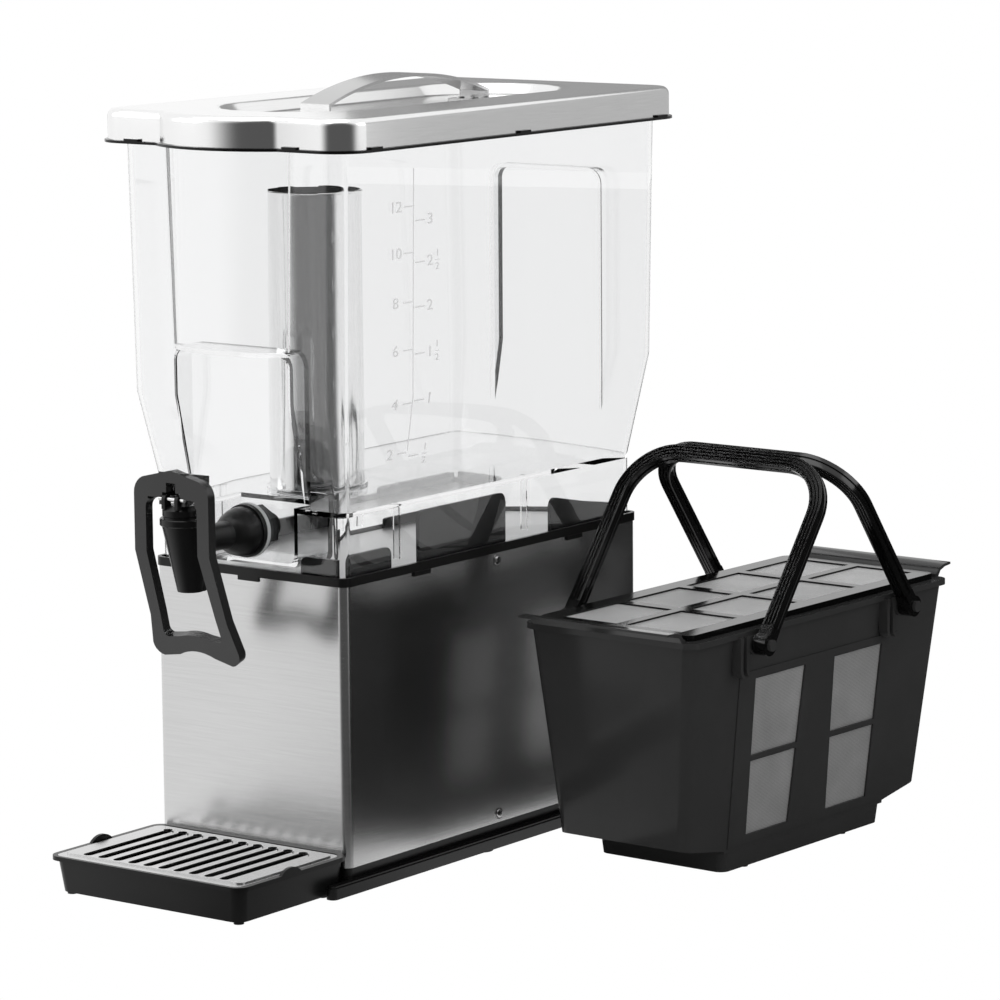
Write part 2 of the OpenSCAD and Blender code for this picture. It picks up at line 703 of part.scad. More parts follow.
module drip_tray() {
    low = tray_half - 5.5;
    color("#1d1d1e") difference() {
        union() {
            loft([ring(round_rect(low, tray_front + 6, tray_back - 3, 8), tray_foot),
                ring(round_rect(low + 2.6, tray_front + 3.4, tray_back - 0.6, 8), tray_top - 3)]);
            slab(round_rect(tray_half, tray_front, tray_back, 9), tray_top - 3, tray_top);
            both_sides() side_plate(concat([[front - 74, tray_top - 3]],
                arc(front - 62, tray_top - 10.8, 15, 138, 42, 8), [[front - 50, tray_top - 3]]),
                tray_half - 2.4, tray_half - tiny);
            for (s = [-1, 1]) for (y = [tray_front + 12, tray_back - 16])
                translate([s * (low - 6), y, 0]) cylinder(r = 3.5, h = tray_foot + tiny);
        }
        loft([ring(round_rect(low - 2, tray_front + 8, tray_back - 5, 7), tray_foot + 2.2),
            ring(round_rect(low + 0.4, tray_front + 5.6, tray_back - 2.8, 7), tray_top - 3)]);
        slab(round_rect(low + 0.4, tray_front + 5.6, tray_back - 2.8, 7), tray_top - 3 - tiny, tray_top + 1);
        slab(round_rect(grate_half + 0.4, grate_front - 0.4, grate_back + 0.4, 6.4),
            tray_top - 1.4, tray_top + 1);
    }
}

module drip_grate() {
    first = -(slots - 1) / 2 * slot_pitch;
    color("#c0c2c4") difference() {
        union() {
            slab(round_rect(grate_half, grate_front, grate_back, 6), tray_top - 1.4, tray_top);
            slab(round_rect(grate_half - 3, grate_front + 7, grate_back - 4, 5),
                tray_top - tiny, tray_top + 1);
        }
        for (i = [0:slots - 1]) translate([first + i * slot_pitch, 0, tray_top - 3]) {
            for (y = [slot_y0, slot_y1]) translate([0, y, 0]) cylinder(r = slot_r, h = 8);
            translate([-slot_r, slot_y0, 0]) cube([2 * slot_r, slot_y1 - slot_y0, 8]);
        }
        slab(round_rect(grate_half - 4.2, grate_front + 8.2, grate_back - 5.2, 4),
            tray_top - 3, tray_top - 0.2);
    }
}

// Places a shape in the basket's own axes
module at_basket() {
    translate([basket_x, basket_y, 0]) rotate([0, 0, basket_turn]) children();
}

function tub_ring(z, i) = ring(round_rect(side_foot + side_slope * z - i, -(end_foot + end_slope * z) + i,
    end_foot + end_slope * z - i, 9 - i * 0.5), z);

// Space under the sloping ends of the tub
module end_slopes(up) {
    for (s = [-1, 1]) side_plate([[s * (well_len - up), -1], [s * (well_len - up), well_top + up],
        [s * (end_foot + 3), end_z + up + 0.6], [s * 200, end_z + up + 8], [s * 200, -1]], -100, 100);
}

// A shape on the slanted side wall, drawn in v along and h up the wall
module on_side(s) {
    translate([s * side_foot, 0, 0]) rotate([0, s * side_angle, 0]) children();
}

function window_rows() =
    let(m = (window_low + window_high) / 2 - 1) [[window_low, m - 2], [m + 2, window_high]];

// Edges of a window towards the middle and towards the end of the tub
function window_near(z) = tub_len * 0.149 - (z - window_low) * 0.048;
function window_far(z) = tub_len * 0.477 + (z - window_low) * 0.034;

// Window between two heights, wider at the top, grown by g
function window(z0, z1, g) = [[window_near(z0) - g, z0 - g], [window_far(z0) + g, z0 - g],
    [window_far(z1) + g, z1 + g], [window_near(z1) - g, z1 + g]];

module windows(grow, x0, x1) {
    for (s = [-1, 1]) on_side(s) for (m = [-1, 1]) for (w = window_rows())
        side_plate([for (p = window(w[0], w[1], grow)) [m * p[0], p[1]]],
            min(s * x0, s * x1), max(s * x0, s * x1));
}

module tub_form(i, z0) {
    difference() {
        loft([tub_ring(well_top - 2 + i, i), tub_ring(basket_h + (i > 0 ? 1 : 0), i)]);
        end_slopes(i);
    }
    loft([ring(round_rect(side_foot + 0.1 - i, -well_len + 1.2 + i, well_len - 1.2 - i, 7), z0),
        ring(round_rect(side_foot + side_slope * (well_top + i) - i, -well_len + i, well_len - i, 7),
            well_top + i + tiny)]);
}

// Ear that carries a bail pin, with its two clip prongs
module bail_ear(s, v) {
    u0 = side_foot + side_slope * bail_z - 1.5;
    u1 = bail_u - bail_bar / 2 - 1.4;
    low = bail_z - 16;
    module across(pts, u) { side_plate(pts, min(s * u, s * u1), max(s * u, s * u1)); }
    across(concat(arc(v, bail_z, 8, 200, 340, 8), [[v + 8, basket_h - 3], [v - 8, basket_h - 3]]), u0);
    translate([s * u0, v, bail_z]) rotate([0, s * 90, 0]) cylinder(r = 4, h = bail_u + 7.4 - u0);
    for (e = [v - 18, v - 11]) across(concat([[e, basket_h - 3], [e, bail_z - 4]],
        arc(e + 7, low, 7, 180, 235, 4), arc(e + 10, low, 7, 235, 180, 4),
        [[e + 3, bail_z - 4], [e + 4, basket_h - 3]]), u0 + 1);
}

module end_lip(s) {
    e = tub_len + 2.4;
    side_plate([[s * (e - 4), basket_h - 1], [s * e, basket_h - 1], [s * e, basket_h],
        [s * (e + 3), basket_h + 4], [s * (e + 9), basket_h + 6],
        [s * (e + 16), basket_h + 6.6], [s * (e + 16), basket_h + 8.2], [s * (e + 8), basket_h + 8],
        [s * (e + 1), basket_h + 6], [s * (e - 2), basket_h + 2.6], [s * (e - 4), basket_h + 2]],
        -lip_half, lip_half);
}

module basket_tub() {
    frame_half = tub_len * 0.61;
    color("#1a1a1b") at_basket() {
        difference() {
            union() {
                tub_form(0, well_z);
                slab(round_rect(tub_half + 3, -tub_len - 2.4, tub_len + 2.4, 10), basket_h - 4, basket_h);
                for (s = [-1, 1]) end_lip(s);
                for (s = [-1, 1]) for (v = [-60, 60]) translate([s * (side_foot - 8), v, 0])
                    cylinder(r1 = 3, r2 = 4, h = well_z + 1);
            }
            tub_form(tub_wall, well_z + tub_wall);
            windows(0, -12, 12);
        }
        difference() {
            slab(round_rect(tub_half - 1, 1 - tub_len, tub_len - 1, 8), basket_h - 2.5, basket_h);
            slab(round_rect(shelf_half, -shelf_len, shelf_len, 5), basket_h - 3, basket_h + 1);
        }
        for (s = [-1, 1]) for (m = [-1, 1]) bail_ear(s, m * pivot_v);
        for (s = [-1, 1]) on_side(s) difference() {
            side_plate([[-frame_half, window_low - 6], [frame_half, window_low - 6],
                [frame_half + 2, window_high + 6], [-frame_half - 2, window_high + 6]],
                min(s * -0.5, s * 0.8), max(s * -0.5, s * 0.8));
            for (m = [-1, 1]) for (w = window_rows())
                side_plate([for (p = window(w[0], w[1], 0)) [m * p[0], p[1]]], -5, 5);
        }
    }
}

module side_screens() {
    color("#85888a") at_basket() for (s = [-1, 1]) on_side(s) for (m = [-1, 1]) for (w = window_rows())
        side_plate([for (p = window(w[0], w[1], -0.02)) [m * p[0], p[1]]],
            s > 0 ? -1.2 : 0.6, s > 0 ? -0.6 : 1.2);
}

function lid_rows() = [for (k = [0:3]) let(v = -pane_end + k * (pane_len + pane_gap)) [v, v + pane_len]];

module basket_lid() {
    h = tub_half - 5;
    l = tub_len - 5;
    color("#1a1a1b") at_basket() difference() {
        union() {
            slab(round_rect(h, -l, l, 7), basket_h, basket_h + 4);
            slab(round_rect(shelf_half - 0.6, 0.6 - shelf_len, shelf_len - 0.6, 4.6),
                basket_h - 5, basket_h + tiny);
        }
        slab(round_rect(shelf_half - 2.8, 2.8 - shelf_len, shelf_len - 2.8, 3), basket_h - 6, basket_h + 1.6);
        both_sides() for (r = lid_rows()) translate([pane_in, r[0], basket_h - 1])
            cube([pane_out - pane_in, r[1] - r[0], 8]);
    }
}

module lid_screens() {
    e = 0.02;
    color("#8b8e90") at_basket() both_sides() for (r = lid_rows())
        translate([pane_in + e, r[0] + e, basket_h + 2])
            cube([pane_out - pane_in - 2 * e, r[1] - r[0] - 2 * e, 0.8]);
}

// Outline of a bail drawn upright from its pivot, moved in by g, with its legs cut off at the height low
module bail_outline(g, low, y0, y1) {
    x1 = bail_u + bail_bar / 2;
    x0 = bail_u - bail_bar / 2;
    r1 = bail_corner;
    r0 = bail_corner - bail_bar;
    z0 = bail_r - bail_top - r0;
    front_plate(concat([[x1 - g, low]], arc(x1 - r1, bail_r - r1, r1 - g, 0, 90, 8),
        arc(r1 - x1, bail_r - r1, r1 - g, 90, 180, 8), [[g - x1, low], [-x0 - g, low]],
        arc(r0 - x0, z0, r0 + g, 180, 90, 8), arc(x0 - r0, z0, r0 + g, 90, 0, 8), [[x0 + g, low]]), y0, y1);
}

// A bail with a groove along both faces and a hub at the foot of each leg
module bail(v, lean) {
    t = 4.5;
    color("#171718") at_basket() translate([0, v, bail_z]) rotate([lean, 0, 0]) difference() {
        union() {
            difference() {
                bail_outline(0, 0, -t, t);
                for (s = [-1, 1]) bail_outline(2.5, 22, s * t - 1.2, s * t + 1.2);
            }
            for (s = [-1, 1]) translate([s * bail_u, 0, 0]) rotate([0, 90, 0])
                cylinder(r = 7.4, h = bail_bar, center = true);
        }
        for (s = [-1, 1]) translate([s * bail_u, 0, 0]) rotate([0, 90, 0])
            cylinder(r = 4.05, h = 30, center = true);
    }
}

module bail_front() { bail(-pivot_v, -bail_lean); }
module bail_rear() { bail(pivot_v, bail_lean); }

plinth();
base_feet();
base_shell();
shell_screws();
top_frame();
base_deck();
reservoir();
ice_tube();
lid_cap();
lid_liner();
lid_handle();
handle_rivets();
faucet_body();
shank_washer();
shank_nut();
bonnet();
valve_stem();
seat_cup();
valve_spring();
lever();
lever_pin();
drip_tray();
drip_grate();
basket_tub();
side_screens();
basket_lid();
lid_screens();
bail_front();
bail_rear();
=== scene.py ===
import json
import math

import bmesh
import bpy
from mathutils import Matrix, Vector
from mathutils.bvhtree import BVHTree


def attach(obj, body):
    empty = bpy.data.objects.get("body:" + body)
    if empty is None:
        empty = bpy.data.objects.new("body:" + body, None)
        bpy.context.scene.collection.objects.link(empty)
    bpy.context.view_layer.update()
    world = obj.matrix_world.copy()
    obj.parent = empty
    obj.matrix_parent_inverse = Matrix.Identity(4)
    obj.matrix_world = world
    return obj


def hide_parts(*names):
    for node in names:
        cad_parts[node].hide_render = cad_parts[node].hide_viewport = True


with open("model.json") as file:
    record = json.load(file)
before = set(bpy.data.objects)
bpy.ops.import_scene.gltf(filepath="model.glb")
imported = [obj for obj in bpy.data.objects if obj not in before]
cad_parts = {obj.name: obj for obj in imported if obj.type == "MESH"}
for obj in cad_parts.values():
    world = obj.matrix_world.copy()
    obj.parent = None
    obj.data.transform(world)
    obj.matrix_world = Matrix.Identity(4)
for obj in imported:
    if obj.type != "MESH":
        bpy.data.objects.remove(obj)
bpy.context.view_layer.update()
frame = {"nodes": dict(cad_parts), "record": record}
nodes = frame["nodes"]
print("frame loaded:", len(nodes), "nodes")

# The camera stands to the right of the faucet, a little above the lid.
cameraSetup = {
    "place": (1.9165, -2.4650, 0.7354),
    "turn": 36.603,      # degrees from straight on, towards the right
    "tilt": -9.075,
    "roll": -0.483,
    "lens": 162.17,
    "sensor": 36.0,
    "reach": 50.0,
}


def addCamera(setup):
    a, p, r = (math.radians(setup[k]) for k in ("turn", "tilt", "roll"))
    ahead = Vector((-math.sin(a) * math.cos(p), math.cos(a) * math.cos(p), math.sin(p)))
    right = Vector((math.cos(a), math.sin(a), 0))
    up = right.cross(ahead)
    rolledRight = math.cos(r) * right + math.sin(r) * up
    rolledUp = -math.sin(r) * right + math.cos(r) * up
    data = bpy.data.cameras.new("tableCamera")
    data.lens = setup["lens"]
    data.sensor_width = setup["sensor"]
    data.clip_end = setup["reach"]
    camera = bpy.data.objects.new("tableCamera", data)
    turn = Matrix((rolledRight, rolledUp, -ahead)).transposed().to_4x4()
    camera.matrix_world = Matrix.Translation(setup["place"]) @ turn
    bpy.context.scene.collection.objects.link(camera)
    bpy.context.scene.camera = camera


addCamera(cameraSetup)

# The studio is white all round. Shiny surfaces also see a dark side towards the camera, a dark
# card behind the basket, one on the floor under it, and two grey cards high up behind.
studio = {
    "roomLight": 0.62,         # what the surroundings give to matt surfaces
    "darkSide": (0.60, -0.80, 0.0),
    "darkValue": 0.09,
    "brightValue": 1.0,
    "wallLight": 0.6,          # the least that the clear walls mirror
    "darkStart": 0.30,
    "darkEnd": 0.80,
    "floorSize": 9.0,
    "floorTone": 0.9,
    "middle": (0.05, 0.0, 0.25),  # the lamps point here, and the floor darkens away from here
    "cards": [
        # name, brightness, corners: only shiny surfaces see these
        ("sideCard", 0.02,
         [(-0.05, 0.80, 0), (0.98, 0.03, 0), (0.98, 0.03, 0.40), (-0.05, 0.80, 0.40)]),
        ("lowCard", 0.02,
         [(0.13, -0.02, 0.0004), (0.30, -0.30, 0.0004), (1.00, 0.05, 0.0004), (0.10, 0.80, 0.0004)]),
        ("topCard", 0.34,
         [(-0.36, 0.395, 0.50), (0.34, 0.92, 0.50), (0.34, 0.92, 0.95), (-0.36, 0.395, 0.95)]),
        ("rimCard", 0.50,
         [(0.506, 0.312, 0.42), (-0.30, 0.91, 0.42), (-0.30, 0.91, 0.80), (0.506, 0.312, 0.80)]),
    ],
    "lamps": [
        # name, place, size, watts
        ("topSoftbox", (-0.25, -0.35, 2.0), 1.6, 10.0),
        ("leftSoftbox", (-1.9, -1.3, 1.2), 1.4, 8.0),
        ("rightSoftbox", (1.9, 0.9, 1.3), 1.2, 5.0),
    ],
}


def mathNode(tree, operation, a, b=None, c=None):
    node = tree.nodes.new("ShaderNodeMath")
    node.operation = operation
    for i, value in enumerate((a, b, c)):
        if value is None:
            continue
        if isinstance(value, (int, float)):
            node.inputs[i].default_value = value
        else:
            tree.links.new(value, node.inputs[i])
    return node.outputs[0]


def rangeNode(tree, value, start, end, low=0.0, high=1.0, kind="LINEAR"):
    node = tree.nodes.new("ShaderNodeMapRange")
    node.interpolation_type = kind
    for label, number in (("From Min", start), ("From Max", end), ("To Min", low), ("To Max", high)):
        node.inputs[label].default_value = number
    tree.links.new(value, node.inputs["Value"])
    return node.outputs["Result"]


# scale is a number or a socket
def noiseNode(tree, where, scale, detail, roughness=0.5):
    node = tree.nodes.new("ShaderNodeTexNoise")
    node.inputs["Detail"].default_value = detail
    node.inputs["Roughness"].default_value = roughness
    tree.links.new(where, node.inputs["Vector"])
    if isinstance(scale, float):
        node.inputs["Scale"].default_value = scale
    else:
        tree.links.new(scale, node.inputs["Scale"])
    return node.outputs["Fac"]


def newGroup(name, inputs, outputs):
    group = bpy.data.node_groups.new(name, "ShaderNodeTree")
    for label, kind, value in inputs:
        socket = group.interface.new_socket(label, in_out="INPUT", socket_type=kind)
        if value is not None:
            socket.default_value = value
    for label, kind in outputs:
        group.interface.new_socket(label, in_out="OUTPUT", socket_type=kind)
    return group, group.nodes.new("NodeGroupInput"), group.nodes.new("NodeGroupOutput")


def placedGroup(tree, group, values=()):
    node = tree.nodes.new("ShaderNodeGroup")
    node.node_tree = group
    for label, value in dict(values).items():
        node.inputs[label].default_value = value
    return node


# what a shiny surface sees in each direction: white, but dark towards the camera's side
def makeRoomTone(setup):
    group, start, end = newGroup(
        "roomTone", [("Direction", "NodeSocketVector", None)], [("Level", "NodeSocketFloat")])
    toward = group.nodes.new("ShaderNodeVectorMath")
    toward.operation = "DOT_PRODUCT"
    toward.inputs[1].default_value = Vector(setup["darkSide"]).normalized()
    group.links.new(start.outputs["Direction"], toward.inputs[0])
    fade = rangeNode(group, toward.outputs["Value"], setup["darkStart"], setup["darkEnd"],
                     setup["brightValue"], setup["darkValue"], "SMOOTHSTEP")
    group.links.new(fade, end.inputs["Level"])
    return group


# 1 until a path has met its first shiny surface
def beforeGloss(tree, path):
    return mathNode(tree, "LESS_THAN", path.outputs["Glossy Depth"], 0.5)


# 1 for rays that come straight from the camera, also through clear walls
def seenStraight(tree, path):
    through = mathNode(tree, "MULTIPLY", path.outputs["Is Transmission Ray"], beforeGloss(tree, path))
    return mathNode(tree, "MAXIMUM", path.outputs["Is Camera Ray"], through)


# the least that clear walls mirror, so that their folds stay light
def wallMirror(tree, path, least):
    straight = mathNode(tree, "MULTIPLY", path.outputs["Is Singular Ray"], beforeGloss(tree, path))
    return mathNode(tree, "MULTIPLY", straight, least)


# white where it is seen, and otherwise the given level, but never below what clear walls mirror
def shownLevel(tree, path, level, least):
    mirrored = wallMirror(tree, path, least)
    shown = mathNode(tree, "MAXIMUM", seenStraight(tree, path), level)
    return mathNode(tree, "MAXIMUM", shown, mirrored)


def shinyRay(tree, path):
    return mathNode(tree, "MAXIMUM", path.outputs["Is Glossy Ray"], path.outputs["Is Transmission Ray"])


def addWorld(setup):
    world = bpy.data.worlds.new("studioRoom")
    bpy.context.scene.world = world
    world.use_nodes = True
    tree = world.node_tree
    tree.nodes.clear()
    new, link = tree.nodes.new, tree.links.new
    output = new("ShaderNodeOutputWorld")
    path = new("ShaderNodeLightPath")
    where = new("ShaderNodeTexCoord")
    room = placedGroup(tree, roomTone)
    link(where.outputs["Generated"], room.inputs["Direction"])
    gloss = new("ShaderNodeMix")
    gloss.data_type = "FLOAT"
    link(shinyRay(tree, path), gloss.inputs["Factor"])
    gloss.inputs["A"].default_value = setup["roomLight"]
    link(room.outputs["Level"], gloss.inputs["B"])
    back = new("ShaderNodeBackground")
    back.inputs["Color"].default_value = (1, 1, 1, 1)
    link(shownLevel(tree, path, gloss.outputs["Result"], setup["wallLight"]), back.inputs["Strength"])
    link(back.outputs[0], output.inputs["Surface"])


def addLamps(lamps, target):
    for name, place, size, watts in lamps:
        data = bpy.data.lights.new(name, "AREA")
        data.shape = "SQUARE"
        data.size = size
        data.energy = watts
        lamp = bpy.data.objects.new(name, data)
        toward = Vector(target) - Vector(place)
        lamp.matrix_world = Matrix.Translation(place) @ toward.to_track_quat("-Z", "Y").to_matrix().to_4x4()
        bpy.context.scene.collection.objects.link(lamp)


def stageSheet(name, corners):
    mesh = bpy.data.meshes.new(name)
    mesh.from_pydata(corners, [], [(0, 1, 2, 3)])
    sheet = bpy.data.objects.new(name, mesh)
    bpy.context.scene.collection.objects.link(sheet)
    mat = bpy.data.materials.new(name + "Paint")
    mat.use_nodes = True
    mat.node_tree.nodes.clear()
    mesh.materials.append(mat)
    return sheet, mat.node_tree


# pure white where it is seen, plain paper where it only lights the underside, and in shiny
# surfaces darker away from the middle towards the dark side
def addFloor(setup):
    s = setup["floorSize"] / 2
    floor, tree = stageSheet("studioFloor", [(-s, -s, 0), (s, -s, 0), (s, s, 0), (-s, s, 0)])
    new, link = tree.nodes.new, tree.links.new
    output = new("ShaderNodeOutputMaterial")
    paper = new("ShaderNodeBsdfDiffuse")
    tone = setup["floorTone"]
    paper.inputs["Color"].default_value = (tone, tone, tone, 1)
    glow = new("ShaderNodeEmission")
    path = new("ShaderNodeLightPath")
    where = new("ShaderNodeTexCoord")
    away = new("ShaderNodeVectorMath")
    away.operation = "SUBTRACT"
    away.inputs[1].default_value = setup["middle"]
    link(where.outputs["Object"], away.inputs[0])
    unit = new("ShaderNodeVectorMath")
    unit.operation = "NORMALIZE"
    link(away.outputs[0], unit.inputs[0])
    room = placedGroup(tree, roomTone)
    link(unit.outputs[0], room.inputs["Direction"])
    link(shownLevel(tree, path, room.outputs["Level"], setup["wallLight"]), glow.inputs["Strength"])
    seen = mathNode(tree, "MAXIMUM", path.outputs["Is Camera Ray"], shinyRay(tree, path))
    mix = new("ShaderNodeMixShader")
    link(seen, mix.inputs[0])
    link(paper.outputs[0], mix.inputs[1])
    link(glow.outputs[0], mix.inputs[2])
    link(mix.outputs[0], output.inputs["Surface"])


def addCard(name, value, corners):
    sheet, tree = stageSheet(name, corners)
    glow = tree.nodes.new("ShaderNodeEmission")
    glow.inputs["Strength"].default_value = value
    output = tree.nodes.new("ShaderNodeOutputMaterial")
    tree.links.new(glow.outputs[0], output.inputs["Surface"])
    sheet.visible_camera = False
    sheet.visible_diffuse = False
    sheet.visible_transmission = False
    sheet.visible_shadow = False


roomTone = makeRoomTone(studio)
addWorld(studio)
addLamps(studio["lamps"], studio["middle"])
addFloor(studio)
for card in studio["cards"]:
    addCard(*card)
bpy.context.scene.view_settings.view_transform = "Standard"
print("studio ready")


# Surface effects that several finishes share.
brushed = {
    "lineDetail": 3.0,
    "lineRoughness": 0.6,
    "cloudScale": 9.0,
    "cloudDetail": 2.0,
    "cloudShare": 0.2,     # how much the slow clouds add to the fine lines
    "toneShare": 0.22,
    "stretchTurn": 0.25,   # of a full turn, for stretched highlights
}
moulded = {
    "grainDetail": 2.0,
    "patchScale": 14.0,
    "patchDetail": 5.0,
    "rubbedFrom": 0.45,
    "rubbedFull": 0.8,
    "ior": 1.48,
    "bumpStrength": 0.4,
}
woven = {
    "gapFrom": 0.5,        # thread height below which the mesh is dark
    "gapFull": 0.95,
    "cloudScale": 30.0,
    "cloudDetail": 4.0,
    "cloudShare": 0.5,
    "cloudBase": 0.75,
    "metallic": 0.4,
    "roughness": 0.45,
    "bumpShare": 0.25,     # thread height as a share of the pitch
    "bumpStrength": 0.4,
}


# fine lines of a brushed sheet, long in one direction
def makeBrushedGroup(b):
    group, start, end = newGroup(
        "brushedLines",
        [("Fineness", "NodeSocketFloat", 2600.0), ("Along X", "NodeSocketFloat", 0.02),
         ("Along Y", "NodeSocketFloat", 0.02), ("Along Z", "NodeSocketFloat", 1.0),
         ("Base Roughness", "NodeSocketFloat", 0.25), ("Spread", "NodeSocketFloat", 0.1)],
        [("Roughness", "NodeSocketFloat"), ("Height", "NodeSocketFloat"), ("Tone", "NodeSocketFloat")])
    new, link = group.nodes.new, group.links.new
    where = new("ShaderNodeTexCoord")
    squeeze = new("ShaderNodeCombineXYZ")
    for axis in "XYZ":
        link(start.outputs["Along " + axis], squeeze.inputs[axis])
    scaled = new("ShaderNodeVectorMath")
    scaled.operation = "MULTIPLY"
    link(where.outputs["Object"], scaled.inputs[0])
    link(squeeze.outputs[0], scaled.inputs[1])
    lines = noiseNode(
        group, scaled.outputs[0], start.outputs["Fineness"], b["lineDetail"], b["lineRoughness"])
    cloud = noiseNode(group, where.outputs["Object"], b["cloudScale"], b["cloudDetail"])
    centred = mathNode(group, "SUBTRACT", lines, 0.5)
    drift = mathNode(group, "SUBTRACT", cloud, 0.5)
    both = mathNode(group, "MULTIPLY_ADD", drift, b["cloudShare"], centred)
    rough = mathNode(group, "MULTIPLY_ADD", both, start.outputs["Spread"], start.outputs["Base Roughness"])
    link(rough, end.inputs["Roughness"])
    link(lines, end.inputs["Height"])
    tone = mathNode(group, "MULTIPLY_ADD", centred, b["toneShare"], 1.0)
    link(tone, end.inputs["Tone"])
    return group


# faint moulded texture with rubbed patches
def makeMouldedGroup(m):
    group, start, end = newGroup(
        "mouldedSkin",
        [("Grain", "NodeSocketFloat", 1400.0), ("Base Roughness", "NodeSocketFloat", 0.35),
         ("Spread", "NodeSocketFloat", 0.12), ("Colour", "NodeSocketColor", (0.02, 0.02, 0.02, 1)),
         ("Rubbed Colour", "NodeSocketColor", (0.05, 0.05, 0.05, 1))],
        [("Colour", "NodeSocketColor"), ("Roughness", "NodeSocketFloat"), ("Height", "NodeSocketFloat")])
    new, link = group.nodes.new, group.links.new
    where = new("ShaderNodeTexCoord")
    grain = noiseNode(group, where.outputs["Object"], start.outputs["Grain"], m["grainDetail"])
    patches = noiseNode(group, where.outputs["Object"], m["patchScale"], m["patchDetail"])
    mix = new("ShaderNodeMix")
    mix.data_type = "RGBA"
    link(rangeNode(group, patches, m["rubbedFrom"], m["rubbedFull"]), mix.inputs["Factor"])
    link(start.outputs["Colour"], mix.inputs[6])
    link(start.outputs["Rubbed Colour"], mix.inputs[7])
    link(mix.outputs[2], end.inputs["Colour"])
    drift = mathNode(group, "SUBTRACT", patches, 0.5)
    rough = mathNode(group, "MULTIPLY_ADD", drift, start.outputs["Spread"], start.outputs["Base Roughness"])
    link(rough, end.inputs["Roughness"])
    link(grain, end.inputs["Height"])
    return group


brushedLines = makeBrushedGroup(brushed)
mouldedSkin = makeMouldedGroup(moulded)


def newMaterial(name):
    mat = bpy.data.materials.new(name)
    mat.use_nodes = True
    tree = mat.node_tree
    return mat, tree, tree.nodes["Principled BSDF"]


def addBump(tree, shader, height, distance, strength=0.5):
    bump = tree.nodes.new("ShaderNodeBump")
    bump.inputs["Strength"].default_value = strength
    bump.inputs["Distance"].default_value = distance
    tree.links.new(height, bump.inputs["Height"])
    tree.links.new(bump.outputs["Normal"], shader.inputs["Normal"])


def brushedSteel(name, look):
    mat, tree, shader = newMaterial(name)
    group = placedGroup(tree, brushedLines, {
        "Fineness": look.get("fineness", 2600.0),
        "Base Roughness": look["roughness"],
        "Spread": look.get("spread", 0.08),
    })
    for axis, value in zip("XYZ", look["grain"]):
        group.inputs["Along " + axis].default_value = value
    tint = tree.nodes.new("ShaderNodeMix")
    tint.data_type = "RGBA"
    tint.blend_type = "MULTIPLY"
    tint.inputs["Factor"].default_value = 1.0
    tint.inputs[6].default_value = (*[look["tone"]] * 3, 1)
    tree.links.new(group.outputs["Tone"], tint.inputs[7])
    tree.links.new(tint.outputs[2], shader.inputs["Base Color"])
    tree.links.new(group.outputs["Roughness"], shader.inputs["Roughness"])
    shader.inputs["Metallic"].default_value = 1.0
    if look.get("stretch"):
        shader.inputs["Anisotropic"].default_value = look["stretch"]
        shader.inputs["Anisotropic Rotation"].default_value = brushed["stretchTurn"]
        tangent = tree.nodes.new("ShaderNodeTangent")
        tangent.direction_type = "RADIAL"
        tangent.axis = "Z"
        tree.links.new(tangent.outputs[0], shader.inputs["Tangent"])
    addBump(tree, shader, group.outputs["Height"], look.get("bump", 0.000006))
    return mat


def mouldedPlastic(name, look):
    mat, tree, shader = newMaterial(name)
    group = placedGroup(tree, mouldedSkin, {
        "Grain": look.get("grain", 1400.0),
        "Base Roughness": look["roughness"],
        "Spread": look.get("spread", 0.08),
        "Colour": (*look["colour"], 1),
        "Rubbed Colour": (*look["rubbed"], 1),
    })
    tree.links.new(group.outputs["Colour"], shader.inputs["Base Color"])
    tree.links.new(group.outputs["Roughness"], shader.inputs["Roughness"])
    shader.inputs["IOR"].default_value = moulded["ior"]
    shader.inputs["Specular IOR Level"].default_value = look.get("shine", 0.5)
    addBump(tree, shader, group.outputs["Height"], look.get("bump", 0.00001), moulded["bumpStrength"])
    return mat


# clear moulding that lets shadow and diffuse rays straight through
def clearPlastic(name, look):
    mat, tree, shader = newMaterial(name)
    new, link = tree.nodes.new, tree.links.new
    # the colour greys what is seen through the walls: partly the moulding's own tint, partly painted shade
    shader.inputs["Base Color"].default_value = (*look["colour"], 1)
    shader.inputs["Roughness"].default_value = look["roughness"]
    shader.inputs["IOR"].default_value = look["ior"]
    shader.inputs["Transmission Weight"].default_value = 1.0
    output = tree.nodes["Material Output"]
    path = new("ShaderNodeLightPath")
    through = new("ShaderNodeBsdfTransparent")
    through.inputs["Color"].default_value = (*look["shadowTint"], 1)
    mix = new("ShaderNodeMixShader")
    passing = mathNode(tree, "MAXIMUM", path.outputs["Is Shadow Ray"], path.outputs["Is Diffuse Ray"])
    link(passing, mix.inputs[0])
    link(shader.outputs[0], mix.inputs[1])
    link(through.outputs[0], mix.inputs[2])
    link(mix.outputs[0], output.inputs["Surface"])
    return mat


